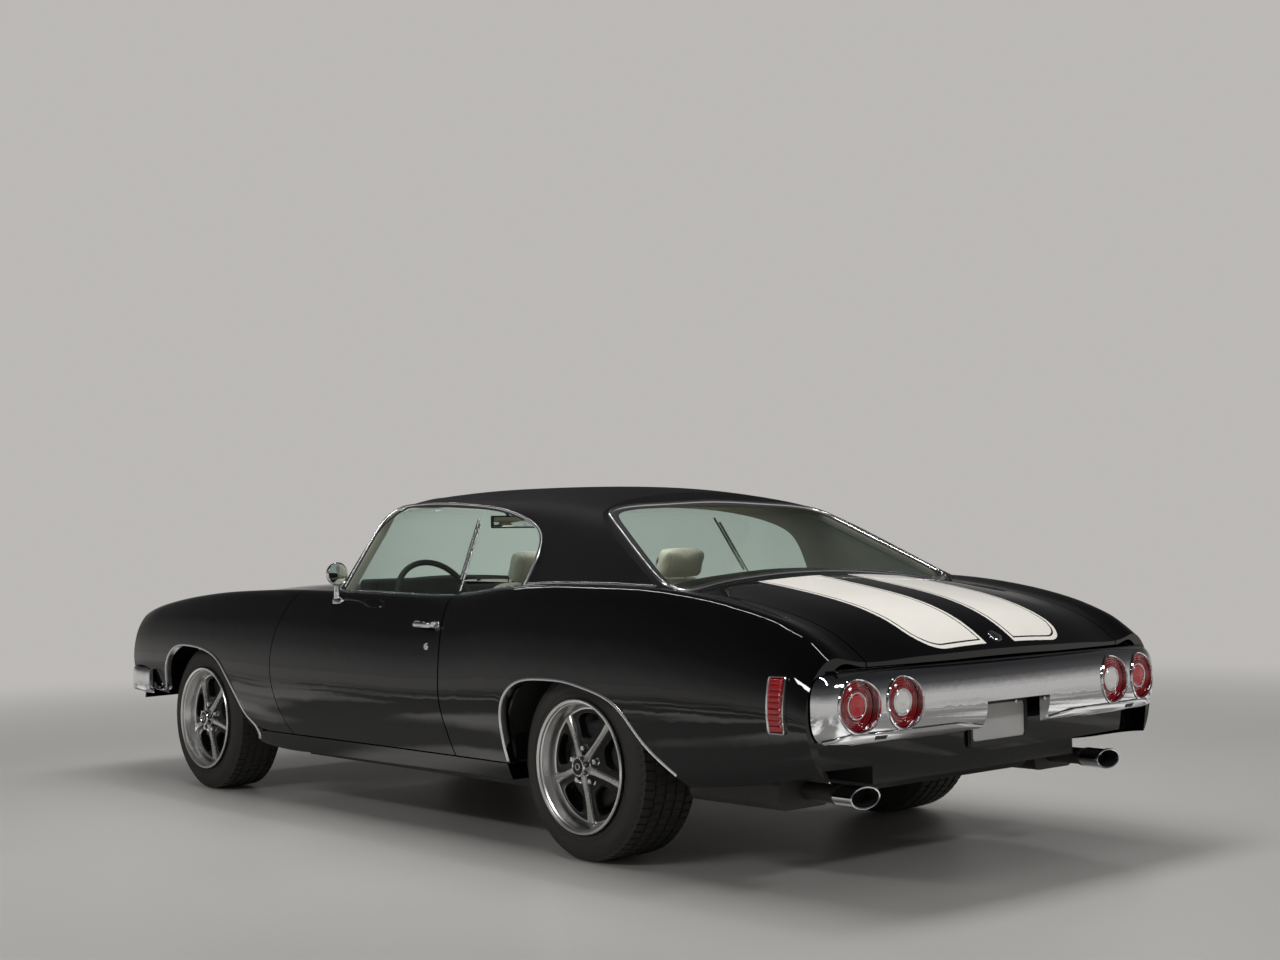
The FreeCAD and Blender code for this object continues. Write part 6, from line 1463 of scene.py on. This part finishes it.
def enginePiece():
    # finishes: 0 enamel, 1 chrome, 2 iron, 3 black, 4 rubber, 5 alloy
    e = engineSpots
    shape = Shape()
    fore = at(1, 0, 0)
    prism(shape, mm(-155, 470, -175, 530, -100, 600, 100, 600, 175, 530, 155, 470), 1.005, 1.49, 0, 0.006)
    prism(shape, mm(-150, 470, -120, 385, 120, 385, 150, 470), 1.01, 1.485, 0, 0.008)
    prism(shape, mm(-110, 392, -95, 326, 95, 326, 110, 392), 1.02, 1.3, 3, 0.012)
    prism(shape, mm(-65, 600, -105, 675, 105, 675, 65, 600), 1.03, 1.465, 0, 0.01)
    for side in (1, -1):
        prism(shape, [(side * 0.095, 0.575), (side * 0.165, 0.515), (side * 0.232, 0.59), (side * 0.16, 0.665)],
              1.012, 1.485, 0, 0.006)
        cover = mm(166, 664, 228, 600, 252, 628, 254, 650, 214, 700, 186, 692)
        prism(shape, [(side * y, z) for y, z in cover], 1.022, 1.476, 1, 0.012)
        for rib in range(3):
            base = at(0, side * (0.232 - 0.012 * rib), 0.67 + 0.012 * rib)
            shape.tube([base + fore * 1.06, base + fore * 1.44], 0.0035, 8, 1)
        shape.turned(mm(19, 0, 19, 18, 14, 22, 0, 22), (1.42, side * 0.213, 0.692), (0, side * 0.5, 1), 24, 1)
        # exhaust manifold and its four runners, plugs and leads
        shape.tube(curveThrough([(1.05, side * 0.205, 0.455), (1.07, side * 0.222, 0.52),
                                 (1.15, side * 0.232, 0.545), (1.42, side * 0.232, 0.548)]), 0.022, 14, 2)
        for k in range(4):
            x = 1.08 + 0.11 * k
            shape.tube([at(x, side * 0.19, 0.56), at(x, side * 0.23, 0.548)], 0.019, 12, 2)
            plug = at(x + 0.045, side * 0.226, 0.585)
            shape.tube([plug - at(0, side * 0.016, 0), plug + at(0, side * 0.02, 0.004)], 0.007, 10, 3)
            shape.tube(curveThrough([plug + at(0, side * 0.018, 0.004), plug + at(-0.01, side * 0.026, 0.05),
                                     (x - 0.02, side * 0.2, 0.712), (1.1, side * 0.09, 0.728),
                                     (1.055, side * 0.03, 0.748)]), 0.004, 8, 4)
        for k in range(4):
            x = 1.075 + 0.11 * k
            shape.tube([at(x, side * 0.05, 0.668), at(x, side * 0.155, 0.63)], 0.024, 12, 5)
    # carburettor, filter drum with bright lid, distributor
    shape.block((1.165, -0.062, 0.672), (1.325, 0.062, 0.735), 0.008, 5)
    shape.block((1.18, -0.075, 0.7), (1.3, -0.06, 0.722), 0.003, 2)
    shape.turned(mm(60, 0, 150, 6, 168, 10, 168, 22, 162, 26, 162, 66, 168, 70, 170, 76, 160, 84, 120, 87, 30, 88,
                    0, 88), (e["filterX"], 0, 0.738), (0, 0, 1), 72, 1)
    shape.turned(mm(8, 0, 8, 4, 14, 5, 0, 7), (e["filterX"], 0, 0.826), (0, 0, 1), 16, 3)
    shape.turned(mm(32, -100, 32, -20, 42, -15, 42, 30, 36, 42, 0, 44), (1.048, 0, 0.715), (0, 0, 1), 32, 3)
    for turn in turns(8):
        shape.turned(mm(6, 0, 6, 12, 0, 13), (1.048 + 0.027 * math.cos(turn), 0.027 * math.sin(turn), 0.755),
                     (0, 0, 1), 10, 3)
    # front cover, pump, pulleys, belt, alternator and fan
    shape.block((1.488, -0.11, 0.4), (1.512, 0.11, 0.64), 0.008, 0)
    shape.turned(mm(60, 0, 60, 30, 35, 40, 22, 75, 0, 75), (1.508, 0, 0.61), fore, 36, 0)
    # crank, pump and alternator: place across, height and radius
    pulleys = ((0.0, 0.445, 0.078), (0.0, 0.61, 0.066), (-0.185, 0.64, 0.036))
    for y, z, radius in pulleys:
        shape.turned([(radius, 0.0), (radius - 0.006, 0.006), (radius, 0.012), (radius - 0.004, 0.014),
                      (radius * 0.5, 0.01), (0.0, 0.01)], (e["pulleyX"], y, z), fore, 40, 3)
    belt = []
    for (y, z, radius), (start, stop) in zip(pulleys, ((-2.8, 0.0), (0.0, 1.9), (1.6, 4.0))):
        for k in range(9):
            turn = start + (stop - start) * k / 8
            belt.append(at(1.551, y + radius * math.cos(turn), z + radius * math.sin(turn)))
    belt = spaced(belt, 0.012, True)
    shape.swept(belt, [fore] * len(belt), mm(-4, -5, 4, -5, 4, 5, -4, 5), 4, closed=True)
    shape.turned(mm(0, -105, 45, -100, 60, -85, 62, -20, 50, 0, 12, 6, 12, 20, 0, 20), (1.53, -0.185, 0.64), fore,
                 36, 5)
    hub = at(e["fanX"], 0, e["fanZ"])
    for blade in turns(e["blades"]):
        turn = blade + 0.3
        along = at(0, math.cos(turn), math.sin(turn))
        aside = at(0, -math.sin(turn), math.cos(turn))
        rows = []
        for reach, wide, twist in ((0.03, 0.016, 0.2), (0.06, 0.03, 0.35), (0.12, 0.042, 0.45), (0.18, 0.046, 0.5),
                                   (0.2, 0.04, 0.5)):
            face = aside * math.cos(twist) + fore * math.sin(twist)
            back = fore * 0.0015
            rows.append([hub + along * reach - face * wide - back, hub + along * reach + face * wide - back,
                         hub + along * reach + face * wide + back, hub + along * reach - face * wide + back])
        shape.rows(rows, 3, closedAcross=True, capEnds=True)
    shape.turned(mm(40, -30, 40, 12, 30, 20, 0, 22), hub, fore, 32, 5)
    # bell housing at the back, mounts at the sides
    shape.turned(mm(0, 0, 165, 0, 180, 20, 180, 62, 0, 62), (e["bellX"], 0, 0.505), fore, 40, 5)
    for side in (1, -1):
        shape.block((1.27, side * 0.195 - 0.04, 0.395), (1.35, side * 0.195 + 0.04, 0.47), 0.008, 3)
    finishList = [engineEnamel, chrome, ironGrey, satinBlack, rubber, alloy]
    shape.piece("engine_dressed", finishList, "body", "engine_paint", ("engine_block",), 34)


radiatorCore = {"tubes": 26, "tubePitch": 0.0122, "fins": 47, "finPitch": 0.01226}


def radiatorPiece():
    r = radiatorCore
    shape = Shape()
    for side in (1, -1):
        shape.block((2.21, min(side * 0.285, side * 0.328), 0.415), (2.256, max(side * 0.285, side * 0.328), 0.785),
                    0.012, 0)
    shape.block((2.214, -0.29, 0.752), (2.252, 0.29, 0.782), 0.006, 0)
    shape.block((2.214, -0.29, 0.412), (2.252, 0.29, 0.44), 0.006, 0)
    # the near-black block inside the core is painted shade, seen between the tubes and fins
    shape.block((2.222, -0.288, 0.436), (2.244, 0.288, 0.756), 0.0, 1)
    for k in range(r["tubes"]):
        z = 0.442 + r["tubePitch"] * k
        shape.block((2.219, -0.288, z), (2.247, 0.288, z + 0.003), 0.0, 2)
    for k in range(r["fins"]):
        y = -0.282 + r["finPitch"] * k
        shape.block((2.2205, y, 0.44), (2.2455, y + 0.0014, 0.752), 0.0, 2)
    shape.turned(mm(22, 0, 22, 6, 18, 10, 0, 11), (2.233, -0.25, 0.781), (0, 0, 1), 28, 3)
    # upper and lower hose
    shape.tube(curveThrough([(1.5, 0.075, 0.69), (1.64, 0.12, 0.735), (1.9, 0.23, 0.745), (2.212, 0.3, 0.735)]),
               0.021, 16, 4)
    shape.tube(curveThrough([(1.53, -0.07, 0.56), (1.66, -0.2, 0.5), (1.9, -0.28, 0.47), (2.212, -0.305, 0.46)]),
               0.021, 16, 4)
    shape.piece("radiator_cored", [satinBlack, sootAndShade, finAlloy, chrome, rubber], "body", "chassis_black",
                ("radiator",), 34)


enginePiece()
radiatorPiece()
print("headlamps and engine done")


# room, lamps, camera

def room():
    backdropTone = (0.5, 0.485, 0.465)
    floorMesh = bpy.data.meshes.new("floor")
    reach = 40.0
    floorMesh.from_pydata([(-reach, -reach, 0), (reach, -reach, 0), (reach, reach, 0), (-reach, reach, 0)], [],
                          [(0, 1, 2, 3)])
    floor = linked("floor", floorMesh)

    def floorGrain(graph):
        cloud = graph.noise(0.6, 4.0)
        tone = graph.mix(cloud, (0.4, 0.39, 0.37), (0.46, 0.445, 0.425))
        # pools of light where paint and chrome mirror it
        pools = graph.noise(0.9, 2.0, graph.stretch(graph.place(), (0.45, 1.6, 1.0))).ease(0.47, 0.6)
        mirrored = graph.mix(pools, (0.24, 0.235, 0.225), (0.95, 0.93, 0.9))
        tone = graph.mix(graph.node("LightPath").also("Is Glossy Ray"), tone, mirrored)
        return {"colour": tone, "rough": 0.3 + 0.1 * cloud}
    pale = material("pale_floor", floorGrain)
    graph = Graph(pale.node_tree)
    # far away the floor melts into the backdrop
    x, y, z = graph.split(graph.place())
    away = ((x * x + y * y) ** 0.5).ease(3.4, 9.5)
    far = graph.node("Emission", {}, {"Color": backdropTone, "Strength": 1.0})
    near = Sock(graph, pale.node_tree.nodes["Principled BSDF"].outputs["BSDF"])
    ray = graph.node("LightPath")
    seen = ray.calc("MAXIMUM", ray, ray.also("Is Glossy Ray"))
    both = graph.node("MixShader", {}, {0: away * seen, 1: near, 2: far})
    graph.feed(pale.node_tree.nodes["Material Output"].inputs["Surface"], both)
    floorMesh.materials.append(pale)

    world = bpy.data.worlds.new("studio")
    world.use_nodes = True
    scene.world = world
    graph = Graph(world.node_tree)
    way = graph.node("TexCoord").also("Generated")
    x, y, z = graph.split(way)
    # what the paint mirrors: a pale band low down, dark above
    mirrored = graph.node("ValToRGB", {"stops": [(0.0, (0.4, 0.39, 0.38, 1)), (0.51, (0.42, 0.41, 0.4, 1)),
                                                 (0.56, (0.2, 0.195, 0.19, 1)), (0.63, (0.075, 0.075, 0.076, 1)),
                                                 (0.8, (0.03, 0.03, 0.032, 1)), (1.0, (0.012, 0.012, 0.014, 1))]},
                          {"Fac": 0.5 + 0.5 * z})
    soft = graph.node("ValToRGB", {"stops": [(0.0, (0.46, 0.45, 0.43, 1)), (0.55, (0.42, 0.41, 0.4, 1)),
                                             (0.8, (0.2, 0.2, 0.2, 1)), (1.0, (0.12, 0.12, 0.125, 1))]},
                      {"Fac": 0.5 + 0.5 * z})
    ray = graph.node("LightPath")
    unseen = graph.mix(ray.also("Is Glossy Ray"), soft, mirrored)
    seen = ray.calc("MAXIMUM", ray, ray.also("Is Transmission Ray"))
    plain = graph.mix(seen, unseen, backdropTone)
    backdrop = graph.node("Background", {}, {"Color": plain, "Strength": 1.0})
    graph.feed(world.node_tree.nodes["World Output"].inputs["Surface"], backdrop)

    def lamp(name, place, size, power, aim=(0, 0, 0.6), mirrored=True):
        data = bpy.data.lights.new(name, "AREA")
        data.shape = "RECTANGLE"
        data.size, data.size_y = size
        data.energy = power
        made = linked(name, data)
        made.location = place
        made.rotation_euler = (Vector(aim) - Vector(place)).to_track_quat("-Z", "Y").to_euler()
        made.visible_glossy = mirrored
        made.visible_camera = False
    lamp("overhead", (-0.3, 0.0, 5.2), (5.0, 1.6), 230, mirrored=False)
    lamp("cabin", (-0.3, 0.0, 1.235), (0.9, 0.6), 4.5, (-0.31, 0, 0), False)
    lamp("left_fill", (-1.5, 6.8, 4.6), (3.4, 0.5), 120)
    lamp("rear_fill", (-7.4, -1.5, 4.4), (2.6, 0.5), 100)
    lamp("right_fill", (1.0, -6.8, 4.6), (3.4, 0.5), 100, mirrored=False)
    lamp("front_fill", (7.4, 1.0, 4.4), (2.6, 0.5), 90, mirrored=False)
    # small lamps for the sparks in chrome, glass and paint
    lamp("right_spark", (1.0, -6.8, 4.6), (0.7, 0.25), 12)
    lamp("front_spark", (7.4, 1.0, 4.4), (0.7, 0.25), 12)
    lamp("ceiling_line", (1.6, -0.2, 4.4), (6.4, 0.11), 32, (1.6, 0.0, 0.6))
    lamp("rear_line", (-3.6, 0.4, 3.6), (0.11, 3.2), 14, (-2.6, 0.0, 0.6))


view = {"place": (-6.108, 4.752, 1.103), "yaw": -40.79, "pitch": 2.19, "roll": -1.19, "lens": 1748 / 1280 * 36}


def photoCamera():
    yaw, pitch, roll = (math.radians(view[key]) for key in ("yaw", "pitch", "roll"))
    ahead = at(math.cos(pitch) * math.cos(yaw), math.cos(pitch) * math.sin(yaw), math.sin(pitch))
    right = ahead.cross(at(0, 0, 1)).normalized()
    upright = right.cross(ahead)
    c, s = math.cos(roll), math.sin(roll)
    right, upright = c * right + s * upright, -s * right + c * upright
    data = bpy.data.cameras.new("camera")
    data.sensor_width = 36
    data.lens = view["lens"]
    scene.camera = linked("camera", data)
    turned = Matrix((right, upright, -ahead)).transposed()
    scene.camera.matrix_world = Matrix.Translation(view["place"]) @ turned.to_4x4()


room()
photoCamera()
scene.view_settings.view_transform = "Standard"
print("room and camera done")
